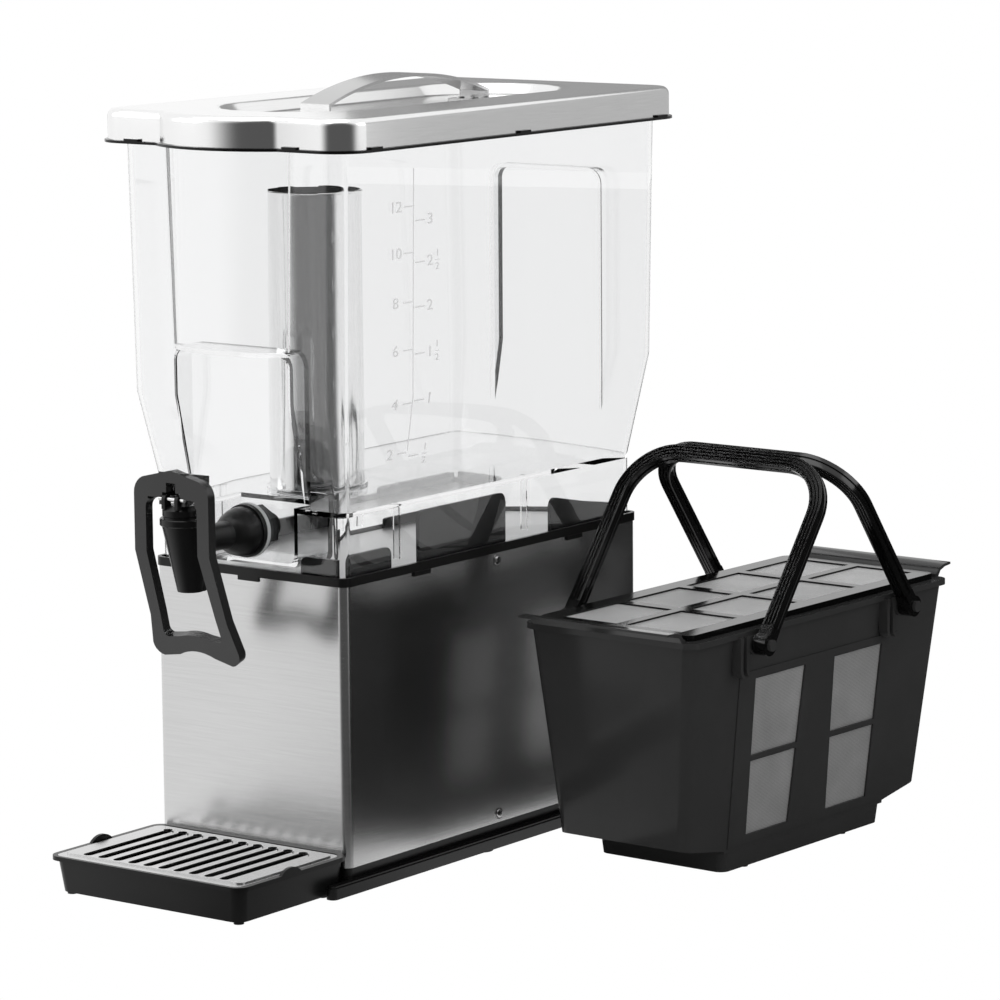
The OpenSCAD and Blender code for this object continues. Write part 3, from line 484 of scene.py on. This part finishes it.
# two crossing sets of rounded threads
def wovenWire(name, look):
    w = woven
    mat, tree, shader = newMaterial(name)
    new, link = tree.nodes.new, tree.links.new
    where = new("ShaderNodeTexCoord")
    split = new("ShaderNodeSeparateXYZ")
    link(where.outputs["Object"], split.inputs[0])
    turn = math.pi / look["pitch"]
    flat = mathNode(tree, "ADD", split.outputs["X"], split.outputs["Z"])
    waves = [mathNode(tree, "SINE", mathNode(tree, "MULTIPLY", along, turn))
             for along in (flat, split.outputs["Y"])]
    height = mathNode(tree, "MAXIMUM", *[mathNode(tree, "ABSOLUTE", wave) for wave in waves])
    cloud = noiseNode(tree, where.outputs["Object"], w["cloudScale"], w["cloudDetail"])
    ramp = rangeNode(tree, height, w["gapFrom"], w["gapFull"], look["dark"], look["light"])
    cloudy = mathNode(tree, "MULTIPLY_ADD", cloud, w["cloudShare"], w["cloudBase"])
    shade = mathNode(tree, "MULTIPLY", ramp, cloudy)
    colour = new("ShaderNodeCombineColor")
    for part in ("Red", "Green", "Blue"):
        link(shade, colour.inputs[part])
    link(colour.outputs[0], shader.inputs["Base Color"])
    shader.inputs["Metallic"].default_value = w["metallic"]
    shader.inputs["Roughness"].default_value = w["roughness"]
    addBump(tree, shader, height, look["pitch"] * w["bumpShare"], w["bumpStrength"])
    return mat


makers = {
    brushedSteel: {
        "steelLid": {"tone": 0.88, "roughness": 0.17, "grain": (1.0, 0.015, 1.0), "bump": 0.0000045},
        "steelHandle": {"tone": 0.55, "roughness": 0.24, "grain": (1.0, 0.015, 1.0), "bump": 0.000003},
        "steelShell": {"tone": 0.62, "roughness": 0.23, "spread": 0.10, "grain": (0.012, 0.012, 1.0),
                       "fineness": 2200.0, "bump": 0.0000060, "stretch": 0.6},
        "steelTube": {"tone": 0.88, "roughness": 0.12, "grain": (1.0, 1.0, 0.02), "bump": 0.000002},
        "steelGrate": {"tone": 0.62, "roughness": 0.25, "grain": (0.03, 1.0, 1.0), "bump": 0.000003},
        "steelDeck": {"tone": 0.6, "roughness": 0.34, "grain": (1.0, 0.02, 1.0), "bump": 0.000003},
        "steelScrew": {"tone": 0.42, "roughness": 0.22, "grain": (1.0, 1.0, 1.0), "fineness": 700.0},
        "steelSmall": {"tone": 0.62, "roughness": 0.2, "grain": (1.0, 1.0, 1.0), "fineness": 700.0},
    },
    mouldedPlastic: {
        "blackSatin": {"colour": (0.005, 0.005, 0.005), "rubbed": (0.008, 0.008, 0.008), "roughness": 0.30,
                       "shine": 0.30},
        "blackGloss": {"colour": (0.003, 0.003, 0.003), "rubbed": (0.005, 0.005, 0.005), "roughness": 0.12,
                       "spread": 0.04, "shine": 0.24, "bump": 0.000003},
        "blackTub": {"colour": (0.034, 0.034, 0.034), "rubbed": (0.040, 0.040, 0.040), "roughness": 0.13,
                     "spread": 0.04, "shine": 0.24, "bump": 0.000003},
        "blackBail": {"colour": (0.003, 0.003, 0.003), "rubbed": (0.005, 0.005, 0.005), "roughness": 0.16,
                      "spread": 0.04, "shine": 0.6, "bump": 0.000003},
        "blackLever": {"colour": (0.014, 0.014, 0.014), "rubbed": (0.022, 0.022, 0.022), "roughness": 0.24,
                       "spread": 0.04, "shine": 0.55},
        "blackFoot": {"colour": (0.012, 0.012, 0.012), "rubbed": (0.03, 0.03, 0.03), "roughness": 0.7,
                      "grain": 900.0},
        "milkWasher": {"colour": (0.50, 0.51, 0.51), "rubbed": (0.55, 0.55, 0.55), "roughness": 0.35},
        "softSeal": {"colour": (0.60, 0.58, 0.54), "rubbed": (0.66, 0.64, 0.6), "roughness": 0.55},
        "raisedMark": {"colour": (0.96, 0.96, 0.96), "rubbed": (0.98, 0.98, 0.98), "roughness": 0.3},
    },
    clearPlastic: {
        # the clear walls' grey colour is partly the moulding's own tint and partly painted shade that stands
        # in for the darker surroundings seen through them
        "clearTank": {"colour": (0.945, 0.947, 0.949), "roughness": 0.0, "ior": 1.49,
                      "shadowTint": (0.96, 0.965, 0.97)},
    },
    wovenWire: {
        "wireSide": {"pitch": 0.0011, "dark": 0.14, "light": 0.50},
        "wireLid": {"pitch": 0.0011, "dark": 0.18, "light": 0.68},
    },
}
finishes = {name: make(name, look) for make, looks in makers.items() for name, look in looks.items()}
print("finishes ready:", len(finishes))


# Helpers for the pieces.
softening = {
    "merge": 2e-6,          # metres
    "mergeFine": 1e-7,
    "flatUpTo": 0.6,        # degrees up to which neighbouring faces become one
    "roundFrom": 32.0,      # degrees from which an edge is rounded
    "weighFrom": 20.0,
    "smoothUpTo": 38.0,
    "smallSmooth": 30.0,    # for small forms
    "sweptSmooth": 40.0,    # for lips and bails
    "flatWeight": 80,
    "thirdSegment": 0.001,  # edges as wide as this get a third segment
}


def finishedObject(name, mesh, finish):
    mesh.materials.clear()
    mesh.materials.append(finishes[finish])
    piece = bpy.data.objects.new(name, mesh)
    bpy.context.scene.collection.objects.link(piece)
    return piece


def bodyOf(node):
    bodies = frame["record"]["behaviour"]["bodies"]
    return next(body for body, members in bodies.items() if node in members)


def boxOf(node):
    points = [nodes[node].matrix_world @ v.co for v in nodes[node].data.vertices]
    return [Vector([pick(p[k] for p in points) for k in range(3)]) for pick in (min, max)]


# turns an object's modifiers into a plain mesh
def applyModifiers(piece):
    bpy.context.view_layer.update()
    graph = bpy.context.evaluated_depsgraph_get()
    mesh = bpy.data.meshes.new_from_object(
        piece.evaluated_get(graph), preserve_all_data_layers=True, depsgraph=graph)
    piece.modifiers.clear()
    piece.data = mesh
    mesh.name = piece.name


def smoothFaces(piece, angle):
    data = piece.data
    data.polygons.foreach_set("use_smooth", [True] * len(data.polygons))
    data.set_sharp_from_angle(angle=math.radians(angle))
    weight = piece.modifiers.new("flatFaces", "WEIGHTED_NORMAL")
    weight.keep_sharp = True
    weight.weight = softening["flatWeight"]
    applyModifiers(piece)


def belongs(piece, node, replaced=True):
    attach(piece, bodyOf(node))
    if replaced:
        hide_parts(node)


# gives each bent edge its share of the bevel's width
def weighEdges(mesh, weigh):
    key = "bevel_weight_edge"
    work = bmesh.new()
    work.from_mesh(mesh)
    layer = work.edges.layers.float.get(key) or work.edges.layers.float.new(key)
    bent = math.radians(softening["weighFrom"])
    for edge in work.edges:
        if len(edge.link_faces) == 2 and edge.calc_face_angle(0) > bent:
            edge[layer] = weigh(edge.verts[0].co, edge.verts[1].co)
    work.to_mesh(mesh)
    work.free()


# a copy of a node with merged corners and narrow rounded edges; shape moves its points,
# cut keeps it on one side of a plane, and weigh shares out the width of its edges
def softened(node, name, finish, width, segments=2, cut=None, weigh=None, shape=None):
    mesh = nodes[node].data.copy()
    mesh.name = name
    if shape:
        for vertex in mesh.vertices:
            vertex.co = shape(vertex.co)
    work = bmesh.new()
    work.from_mesh(mesh)
    bmesh.ops.remove_doubles(work, verts=work.verts, dist=softening["merge"])
    if cut:
        geometry = work.verts[:] + work.edges[:] + work.faces[:]
        made = bmesh.ops.bisect_plane(work, geom=geometry, plane_co=cut[0], plane_no=cut[1], clear_outer=True)
        rim = [e for e in made["geom_cut"] if isinstance(e, bmesh.types.BMEdge)]
        bmesh.ops.holes_fill(work, edges=rim)
    flat = math.radians(softening["flatUpTo"])
    bmesh.ops.dissolve_limit(work, angle_limit=flat, verts=work.verts, edges=work.edges)
    work.to_mesh(mesh)
    work.free()
    piece = finishedObject(name, mesh, finish)
    if width:
        bevel = piece.modifiers.new("edges", "BEVEL")
        bevel.width = width
        bevel.segments = segments
        bevel.limit_method = "WEIGHT" if weigh else "ANGLE"
        bevel.angle_limit = math.radians(softening["roundFrom"])
        if weigh:
            weighEdges(mesh, weigh)
        bevel.use_clamp_overlap = True
        applyModifiers(piece)
    smoothFaces(piece, softening["smoothUpTo"])
    belongs(piece, node)


softPieces = {
    # node: (name, finish, edge radius in metres)
    "plinth": ("footFlange", "blackSatin", 0.0014),
    "base_feet": ("rubberFeet", "blackFoot", 0.0003),
    "base_shell": ("steelStand", "steelShell", 0.0),
    "base_deck": ("standDeck", "steelDeck", 0.0),
    "ice_tube": ("iceTube", "steelTube", 0.0),
    "lid_cap": ("lidCap", "steelLid", 0.0),
    "lid_liner": ("lidLiner", "blackGloss", 0.0004),
    "lid_handle": ("lidHandle", "steelHandle", 0.0005),
    "shank_washer": ("clearWasher", "milkWasher", 0.0004),
    "shank_nut": ("shankNut", "blackSatin", 0.0005),
    "bonnet": ("faucetBonnet", "blackSatin", 0.0003),
    "seat_cup": ("seatCup", "softSeal", 0.0),
    "lever": ("pushLever", "blackLever", 0.0016),
    "drip_tray": ("dripTray", "blackSatin", 0.0008),
    "drip_grate": ("dripGrate", "steelGrate", 0.0003),
    "basket_tub": ("brewTub", "blackTub", 0.0007),
    "basket_lid": ("brewLid", "blackGloss", 0.0006),
}
plainNodes = {
    "handle_rivets": "steelSmall",
    "valve_stem": "steelSmall",
    "valve_spring": "steelSmall",
    "lever_pin": "steelSmall",
    "side_screens": "wireSide",
    "lid_screens": "wireLid",
}
for node, (name, finish, width) in softPieces.items():
    softened(node, name, finish, width, 3 if width >= softening["thirdSegment"] else 2)
for node, finish in plainNodes.items():
    mesh = nodes[node].data
    mesh.materials.clear()
    mesh.materials.append(finishes[finish])
print("pieces softened:", len(softPieces))

# The clear moulding has wide soft folds down its walls and narrow ones round its rims.
tank = {"fold": 0.0028, "rimShare": 0.28, "foldLength": 0.04, "upright": 0.9}


def addTank(t):
    def share(a, b):
        length = (b - a).length
        upright = abs(b.z - a.z) > t["upright"] * length
        return 1.0 if upright and length > t["foldLength"] else t["rimShare"]

    softened("reservoir", "clearReservoir", "clearTank", t["fold"], segments=3, weigh=share)


addTank(tank)

# Only the near side's blocks show through the walls; those at the far side and the back are low.
frameBlocks = {
    "farSide": -0.05,
    "backStrip": 0.02,
    "flange": 0.004,        # height over the deck that stays as it is
    "lowered": 0.25,
    "edge": 0.0005,
}


def addFrame(f):
    back = boxOf("top_frame")[1].y
    foot = boxOf("base_deck")[1].z + f["flange"]

    def lower(point):
        far = point.x < f["farSide"] or point.y > back - f["backStrip"]
        if far and point.z > foot:
            point = Vector((point.x, point.y, foot + (point.z - foot) * f["lowered"]))
        return point

    softened("top_frame", "standFrame", "blackSatin", f["edge"], shape=lower)


addFrame(frameBlocks)
print("reservoir and frame built")


# Copies of one small form at listed places, each with its own turn and size.
def makeCopiesTree():
    tree = bpy.data.node_groups.new("placedCopies", "GeometryNodeTree")
    tree.interface.new_socket("Places", in_out="INPUT", socket_type="NodeSocketGeometry")
    form = tree.interface.new_socket("Form", in_out="INPUT", socket_type="NodeSocketObject")
    finish = tree.interface.new_socket("Finish", in_out="INPUT", socket_type="NodeSocketMaterial")
    tree.interface.new_socket("Copies", in_out="OUTPUT", socket_type="NodeSocketGeometry")
    new, link = tree.nodes.new, tree.links.new
    start, end = new("NodeGroupInput"), new("NodeGroupOutput")
    info = new("GeometryNodeObjectInfo")
    link(start.outputs["Form"], info.inputs["Object"])

    def attribute(name):
        node = new("GeometryNodeInputNamedAttribute")
        node.data_type = "FLOAT_VECTOR"
        node.inputs["Name"].default_value = name
        return next(s for s in node.outputs if s.enabled)

    turn = new("FunctionNodeEulerToRotation")
    link(attribute("turn"), turn.inputs[0])
    place = new("GeometryNodeInstanceOnPoints")
    link(start.outputs["Places"], place.inputs["Points"])
    link(info.outputs["Geometry"], place.inputs["Instance"])
    link(turn.outputs[0], place.inputs["Rotation"])
    link(attribute("size"), place.inputs["Scale"])
    real = new("GeometryNodeRealizeInstances")
    link(place.outputs["Instances"], real.inputs[0])
    paint = new("GeometryNodeSetMaterial")
    link(real.outputs[0], paint.inputs["Geometry"])
    link(start.outputs["Finish"], paint.inputs["Material"])
    link(paint.outputs[0], end.inputs["Copies"])
    return tree, form.identifier, finish.identifier


copiesTree, formInput, finishInput = makeCopiesTree()


def copiesOf(name, form, places, finish):
    mesh = bpy.data.meshes.new(name)
    mesh.from_pydata([p[0] for p in places], [], [])
    for key, index in (("turn", 1), ("size", 2)):
        values = mesh.attributes.new(key, "FLOAT_VECTOR", "POINT")
        values.data.foreach_set("vector", [n for p in places for n in p[index]])
    piece = finishedObject(name, mesh, finish)
    repeat = piece.modifiers.new("copies", "NODES")
    repeat.node_group = copiesTree
    repeat[formInput] = form
    repeat[finishInput] = finishes[finish]
    applyModifiers(piece)
    bpy.data.objects.remove(form)
    return piece


def formMesh(name, work):
    mesh = bpy.data.meshes.new(name)
    bmesh.ops.remove_doubles(work, verts=work.verts, dist=softening["mergeFine"])
    work.to_mesh(mesh)
    work.free()
    return mesh


def formFrom(name, work):
    form = bpy.data.objects.new(name, formMesh(name, work))
    bpy.context.scene.collection.objects.link(form)
    return form


# joins rings of points one after another and caps both ends
def loftRings(rings):
    work = bmesh.new()
    verts = [[work.verts.new(p) for p in ring] for ring in rings]
    n = len(rings[0])
    for one, two in zip(verts, verts[1:]):
        for k in range(n):
            work.faces.new((one[k], one[(k + 1) % n], two[(k + 1) % n], two[k]))
    for cap in (verts[0], verts[-1]):
        work.faces.new(cap)
    bmesh.ops.recalc_face_normals(work, faces=work.faces)
    return work


onAxis = 1e-8  # metres, the radius of a point on a turned form's axis


# a turned form about +X from (distance along the axis, radius) points
def turnedForm(name, profile, steps):
    work = bmesh.new()
    verts = [work.verts.new((x, r, 0)) for x, r in profile]
    edges = [work.edges.new(pair) for pair in zip(verts, verts[1:])]
    bmesh.ops.spin(
        work, geom=verts + edges, cent=(0, 0, 0), axis=(1, 0, 0), angle=2 * math.pi, steps=steps)
    bmesh.ops.remove_doubles(work, verts=work.verts, dist=softening["mergeFine"])
    bmesh.ops.recalc_face_normals(work, faces=work.faces)
    return formFrom(name, work)


screw = {
    "washer": 0.0042,
    "washerHeight": 0.0004,
    "head": 0.0034,
    "headHeight": 0.0013,
    "domeAngles": (0, 18, 36, 54, 70, 82),
    "domeFullness": 0.6,
    "shank": 0.00195,
    "depth": 0.006,
    "crossWidth": 0.0008,
    "crossLength": 0.0034,
    "crossDepth": 0.0008,
    "nodeRadius": 0.0034,   # of the solids that the screws stand for
    "steps": 40,
}


# a pan head on a washer, with a cross recess, pointing along +X
def screwForm(s):
    top = s["washerHeight"] + s["headHeight"]
    dome = [(s["washerHeight"] + s["headHeight"] * math.sin(a), s["head"] * math.cos(a) ** s["domeFullness"])
            for a in (math.radians(d) for d in s["domeAngles"])]
    profile = [(-s["depth"], onAxis), (-s["depth"], s["shank"]), (0.0, s["shank"]), (0.0, s["washer"]),
               (s["washerHeight"], s["washer"])] + dome + [(top, onAxis)]
    form = turnedForm("screwForm", profile, s["steps"])
    work = bmesh.new()
    for wide, tall in ((s["crossWidth"], s["crossLength"]), (s["crossLength"], s["crossWidth"])):
        size = Matrix.Diagonal((2 * s["crossDepth"], wide, tall, 1))
        bmesh.ops.create_cube(work, size=1.0, matrix=Matrix.Translation((top, 0, 0)) @ size)
    cutter = formFrom("crossCutter", work)
    cut = form.modifiers.new("cross", "BOOLEAN")
    cut.operation = "DIFFERENCE"
    cut.solver = "EXACT"
    cut.use_self = True
    cut.object = cutter
    applyModifiers(form)
    bpy.data.objects.remove(cutter)
    return form


def addScrews(setup):
    low, high = boxOf("shell_screws")
    side = boxOf("base_shell")[1].x
    radius = setup["nodeRadius"]
    places = [((s * side, 0, z), (0, 0, 0 if s > 0 else math.pi), (1, 1, 1))
              for s in (1, -1) for z in (low.z + radius, high.z - radius)]
    piece = copiesOf("shellScrews", screwForm(setup), places, "steelScrew")
    smoothFaces(piece, softening["smallSmooth"])
    belongs(piece, "shell_screws")


addScrews(screw)
print("screws placed")

# A raised lip at the far end of each slot of the grate.
lips = {
    "count": 10,
    "pitch": 0.0132,
    "fromBack": 0.015,
    "radius": 0.0036,
    "wall": 0.0006,
    "height": 0.0009,
    "sunk": 0.0004,
    "steps": 12,
}


def lipForm(lip):
    inner, low, high = lip["radius"], -lip["sunk"], lip["height"]
    outer = inner + lip["wall"]
    corners = [(inner, low), (inner, high), (outer, high), (outer, low)]
    angles = [math.pi * k / lip["steps"] for k in range(lip["steps"] + 1)]
    rings = [[(r * math.cos(a), r * math.sin(a), h) for r, h in corners] for a in angles]
    return formFrom("lipForm", loftRings(rings))


def addLips(lip):
    high = boxOf("drip_grate")[1]
    first = -(lip["count"] - 1) / 2 * lip["pitch"]
    places = [((first + i * lip["pitch"], high.y - lip["fromBack"], high.z), (0, 0, 0), (1, 1, 1))
              for i in range(lip["count"])]
    piece = copiesOf("grateLips", lipForm(lip), places, "steelTube")
    smoothFaces(piece, softening["sweptSmooth"])
    belongs(piece, "drip_grate", replaced=False)


addLips(lips)
print("grate lips placed")

# The faucet: the turned neck and dome keep to the node, and a cone with a cap hangs from the neck.
faucet = {
    "behind": 0.0030,      # the cone's axis stands this far behind the valve stem
    "capRadius": 0.0165,
    "capHeight": 0.0050,
    "capEdge": 0.0006,
    "capBore": 0.0115,
    "topRadius": 0.0152,
    "tipRadius": 0.0086,
    "tipLean": 0.0045,     # how far the tip leans back
    "bore": 0.0064,
    "mouthBore": 0.0112,
    "mouthDepth": 0.010,   # the bore narrows from here
    "throatDepth": 0.018,  # to here
    "coneSteps": 6,
    "steps": 64,
    "neckCut": 0.010,
    "bodyEdge": 0.0004,
}


def addFaucet(f):
    stem = boxOf("valve_stem")
    body = boxOf("faucet_body")
    cap = boxOf("bonnet")
    middle = (stem[0] + stem[1]) / 2
    top, tip = cap[0].z, body[0].z
    plane = (Vector((0, middle.y + f["neckCut"], 0)), Vector((0, -1, 0)))
    softened("faucet_body", "faucetBody", "blackSatin", f["bodyEdge"], cut=plane)
    r, edge, high = f["capRadius"], f["capEdge"], f["capHeight"]
    outer = [(high, f["capBore"]), (high, r - edge), (high - edge, r), (edge, r), (0, r - edge),
             (0, f["topRadius"])]
    steps = f["coneSteps"]
    cone = [(-(top - tip) * k / steps, f["topRadius"] + (f["tipRadius"] - f["topRadius"]) * k / steps)
            for k in range(1, steps + 1)]
    inner = [(-(top - tip), f["bore"]), (-f["throatDepth"], f["bore"]), (-f["mouthDepth"], f["mouthBore"]),
             (high, f["capBore"])]
    form = turnedForm("spoutForm", outer + cone + inner, f["steps"])
    for vertex in form.data.vertices:
        x, y, z = vertex.co
        vertex.co = (y, z + max(0.0, -x) / (top - tip) * f["tipLean"], x)
    form.data.flip_normals()
    spout = finishedObject("faucetSpout", form.data, "blackSatin")
    bpy.data.objects.remove(form)
    spout.data.transform(Matrix.Translation((middle.x, middle.y + f["behind"], top)))
    smoothFaces(spout, softening["smallSmooth"])
    belongs(spout, "faucet_body", replaced=False)


addFaucet(faucet)
print("faucet built")

# The two bails: one ribbed section swept along each bail's own curve.
bail = {
    "turn": -1.5,            # degrees, as the basket stands
    "lean": 37.0,
    "middle": (0.2134, 0.108),
    "footHeight": 0.163,
    "footAcross": 0.089,
    "legAcross": 0.0813,
    "reach": 0.141,          # to the outer edge of the grip
    "bar": 0.010,
    "thick": 0.0045,
    "corner": 0.042,
    "cornerSteps": 14,
    "start": 0.012,
    "overlap": 0.001,        # of the bar and the hub that is kept from the node
    "ribs": 4,
    "ribDepth": 0.0010,
    "ribShape": (0.12, 0.66, 0.76, 0.98),  # crest from and to, groove from and to, as shares of a rib
    "chamfer": 0.0006,
    "edgeGroove": 0.0012,
    "edgeGrooveFloor": 0.0008,
}


# the section, from the outer edge towards the inner one: a ribbed bar
def bailSection(b):
    half, t, deep = b["bar"] / 2, b["thick"], b["ribDepth"]
    step = b["bar"] / b["ribs"]
    levels = (t, t, t - deep, t - deep)
    face = [(half - i * step - share * step, level)
            for i in range(b["ribs"]) for share, level in zip(b["ribShape"], levels)][:-2]
    rim, groove, floor = t - b["chamfer"], b["edgeGroove"], b["edgeGrooveFloor"]
    edge = [(half, -rim), (half, -groove), (half - deep, -floor), (half - deep, floor), (half, groove),
            (half, rim)]
    return edge + face + [(-u, -v) for u, v in edge] + [(u, -v) for u, v in reversed(face)]


def bailPath(b):
    u, top = b["legAcross"], b["reach"] - b["bar"] / 2
    r = b["corner"] - b["bar"] / 2
    rise = top - r
    path = [(-u, b["start"]), (-u, 0.5 * rise), (-u, rise)]
    turns = b["cornerSteps"]
    path += [(-u + r - r * math.cos(a), rise + r * math.sin(a))
             for a in (math.pi / 2 * k / turns for k in range(1, turns + 1))]
    return path + [(0.0, top)] + [(-x, z) for x, z in reversed(path)]


def addBail(node, name, side, b):
    path, section = bailPath(b), bailSection(b)
    rings = []
    for i, (x, z) in enumerate(path):
        before, after = path[max(i - 1, 0)], path[min(i + 1, len(path) - 1)]
        along = Vector((after[0] - before[0], 0, after[1] - before[1])).normalized()
        out = Vector((-along.z, 0, along.x))
        rings.append([Vector((x, 0, z)) + out * u + Vector((0, 1, 0)) * v for u, v in section])
    lean = Matrix.Rotation(math.radians(side * b["lean"]), 4, "X")
    foot = Matrix.Translation((0, side * b["footAcross"], b["footHeight"]))
    basket = Matrix.Translation((*b["middle"], 0)) @ Matrix.Rotation(math.radians(b["turn"]), 4, "Z")
    place = basket @ foot @ lean
    mesh = formMesh(name + "Bar", loftRings(rings))
    mesh.transform(place)
    bar = finishedObject(name + "Bar", mesh, "blackBail")
    smoothFaces(bar, softening["sweptSmooth"])
    belongs(bar, node, replaced=False)
    cutAt = place @ Vector((0, 0, b["start"] + b["overlap"]))
    plane = (cutAt, (place.to_3x3() @ Vector((0, 0, 1))).normalized())
    softened(node, name, "blackBail", 0.0, cut=plane)


addBail("bail_front", "frontBail", -1, bail)
addBail("bail_rear", "rearBail", 1, bail)
print("bails swept")

# Raised volume marks on the right wall of the reservoir: plain numbers and ticks.
marks = {
    "line": -0.103,               # place of the upright line along the depth
    "lineFoot": 0.292,
    "lineTop": 0.482,
    "lineHalf": 0.00035,
    "lineSteps": 24,              # short bars that follow the wall
    "litres": {12: 0.457, 10: 0.426, 8: 0.393, 6: 0.361, 4: 0.325, 2: 0.291},
    "halfGallons": {6: 0.447, 5: 0.419, 4: 0.389, 3: 0.3575, 2: 0.326, 1: 0.288},
    "litreFigure": -0.019,        # these are places from the line
    "litreTick": (-0.0105, -0.001),
    "gallonFigure": 0.0185,
    "gallonTick": (0.002, 0.0125),
    "halfAlone": 0.0195,
    "halfBeside": 0.0265,
    "halfRise": 0.0045,
    "halfBar": 0.0022,
    "halfBarShare": 0.6,
    "figure": 0.0105,
    "small": 0.0066,
    "widen": 1.3,
    "raise": 0.00018,
    "tick": 0.0008,
    "curveSteps": 3,
    "castFrom": 0.3,              # outside the right wall
}


def wallPoint(wall, y, z):
    return wall.ray_cast(Vector((marks["castFrom"], y, z)), Vector((-1, 0, 0)))[:2]


def figureMesh(text, size, thickness):
    curve = bpy.data.curves.new("figure", "FONT")
    curve.body = text
    curve.size = size
    curve.align_x = "CENTER"
    curve.align_y = "CENTER"
    curve.extrude = thickness
    curve.resolution_u = marks["curveSteps"]
    holder = bpy.data.objects.new("figure", curve)
    bpy.context.scene.collection.objects.link(holder)
    bpy.context.view_layer.update()
    mesh = bpy.data.meshes.new_from_object(holder.evaluated_get(bpy.context.evaluated_depsgraph_get()))
    bpy.data.objects.remove(holder)
    return mesh


def addMarks(m):
    tank = nodes["reservoir"]
    wall = BVHTree.FromPolygons([tank.matrix_world @ v.co for v in tank.data.vertices],
                                [p.vertices for p in tank.data.polygons])
    work = bmesh.new()

    def put(text, size, y, z):
        point, normal = wallPoint(wall, y, z)
        along = Vector((0, 1, 0))
        turn = Matrix((along, normal.cross(along), normal)).transposed().to_4x4()
        mesh = figureMesh(text, size, m["raise"])
        mesh.transform(Matrix.Translation(point) @ turn @ Matrix.Diagonal((m["widen"], 1, 1, 1)))
        work.from_mesh(mesh)

    bars = []

    def bar(y0, y1, z, height):
        point, normal = wallPoint(wall, (y0 + y1) / 2, z)
        bars.append((point, (0, math.asin(-normal.z), 0), (2 * m["raise"], y1 - y0, height)))

    line = m["line"]
    for number, z in m["litres"].items():
        put(str(number), m["figure"], line + m["litreFigure"], z)
        bar(*[line + end for end in m["litreTick"]], z, m["tick"])
    for halves, z in m["halfGallons"].items():
        whole, rest = divmod(halves, 2)
        if whole:
            put(str(whole), m["figure"], line + m["gallonFigure"], z)
        if rest:
            y = line + m["halfBeside" if whole else "halfAlone"]
            put("1", m["small"], y, z + m["halfRise"])
            put("2", m["small"], y, z - m["halfRise"])
            bar(y - m["halfBar"], y + m["halfBar"], z, m["tick"] * m["halfBarShare"])
        bar(*[line + end for end in m["gallonTick"]], z, m["tick"])
    foot, tall, steps = m["lineFoot"], m["lineTop"] - m["lineFoot"], m["lineSteps"]
    for i in range(steps):
        z0, z1 = (foot + tall * (i + k) / steps for k in (0, 1))
        bar(line - m["lineHalf"], line + m["lineHalf"], (z0 + z1) / 2, z1 - z0)

    figures = finishedObject("volumeFigures", formMesh("volumeFigures", work), "raisedMark")
    belongs(figures, "reservoir", replaced=False)
    cube = bmesh.new()
    bmesh.ops.create_cube(cube, size=1.0)
    ticks = copiesOf("volumeTicks", formFrom("tickForm", cube), bars, "raisedMark")
    belongs(ticks, "reservoir", replaced=False)


addMarks(marks)
print("volume marks added")
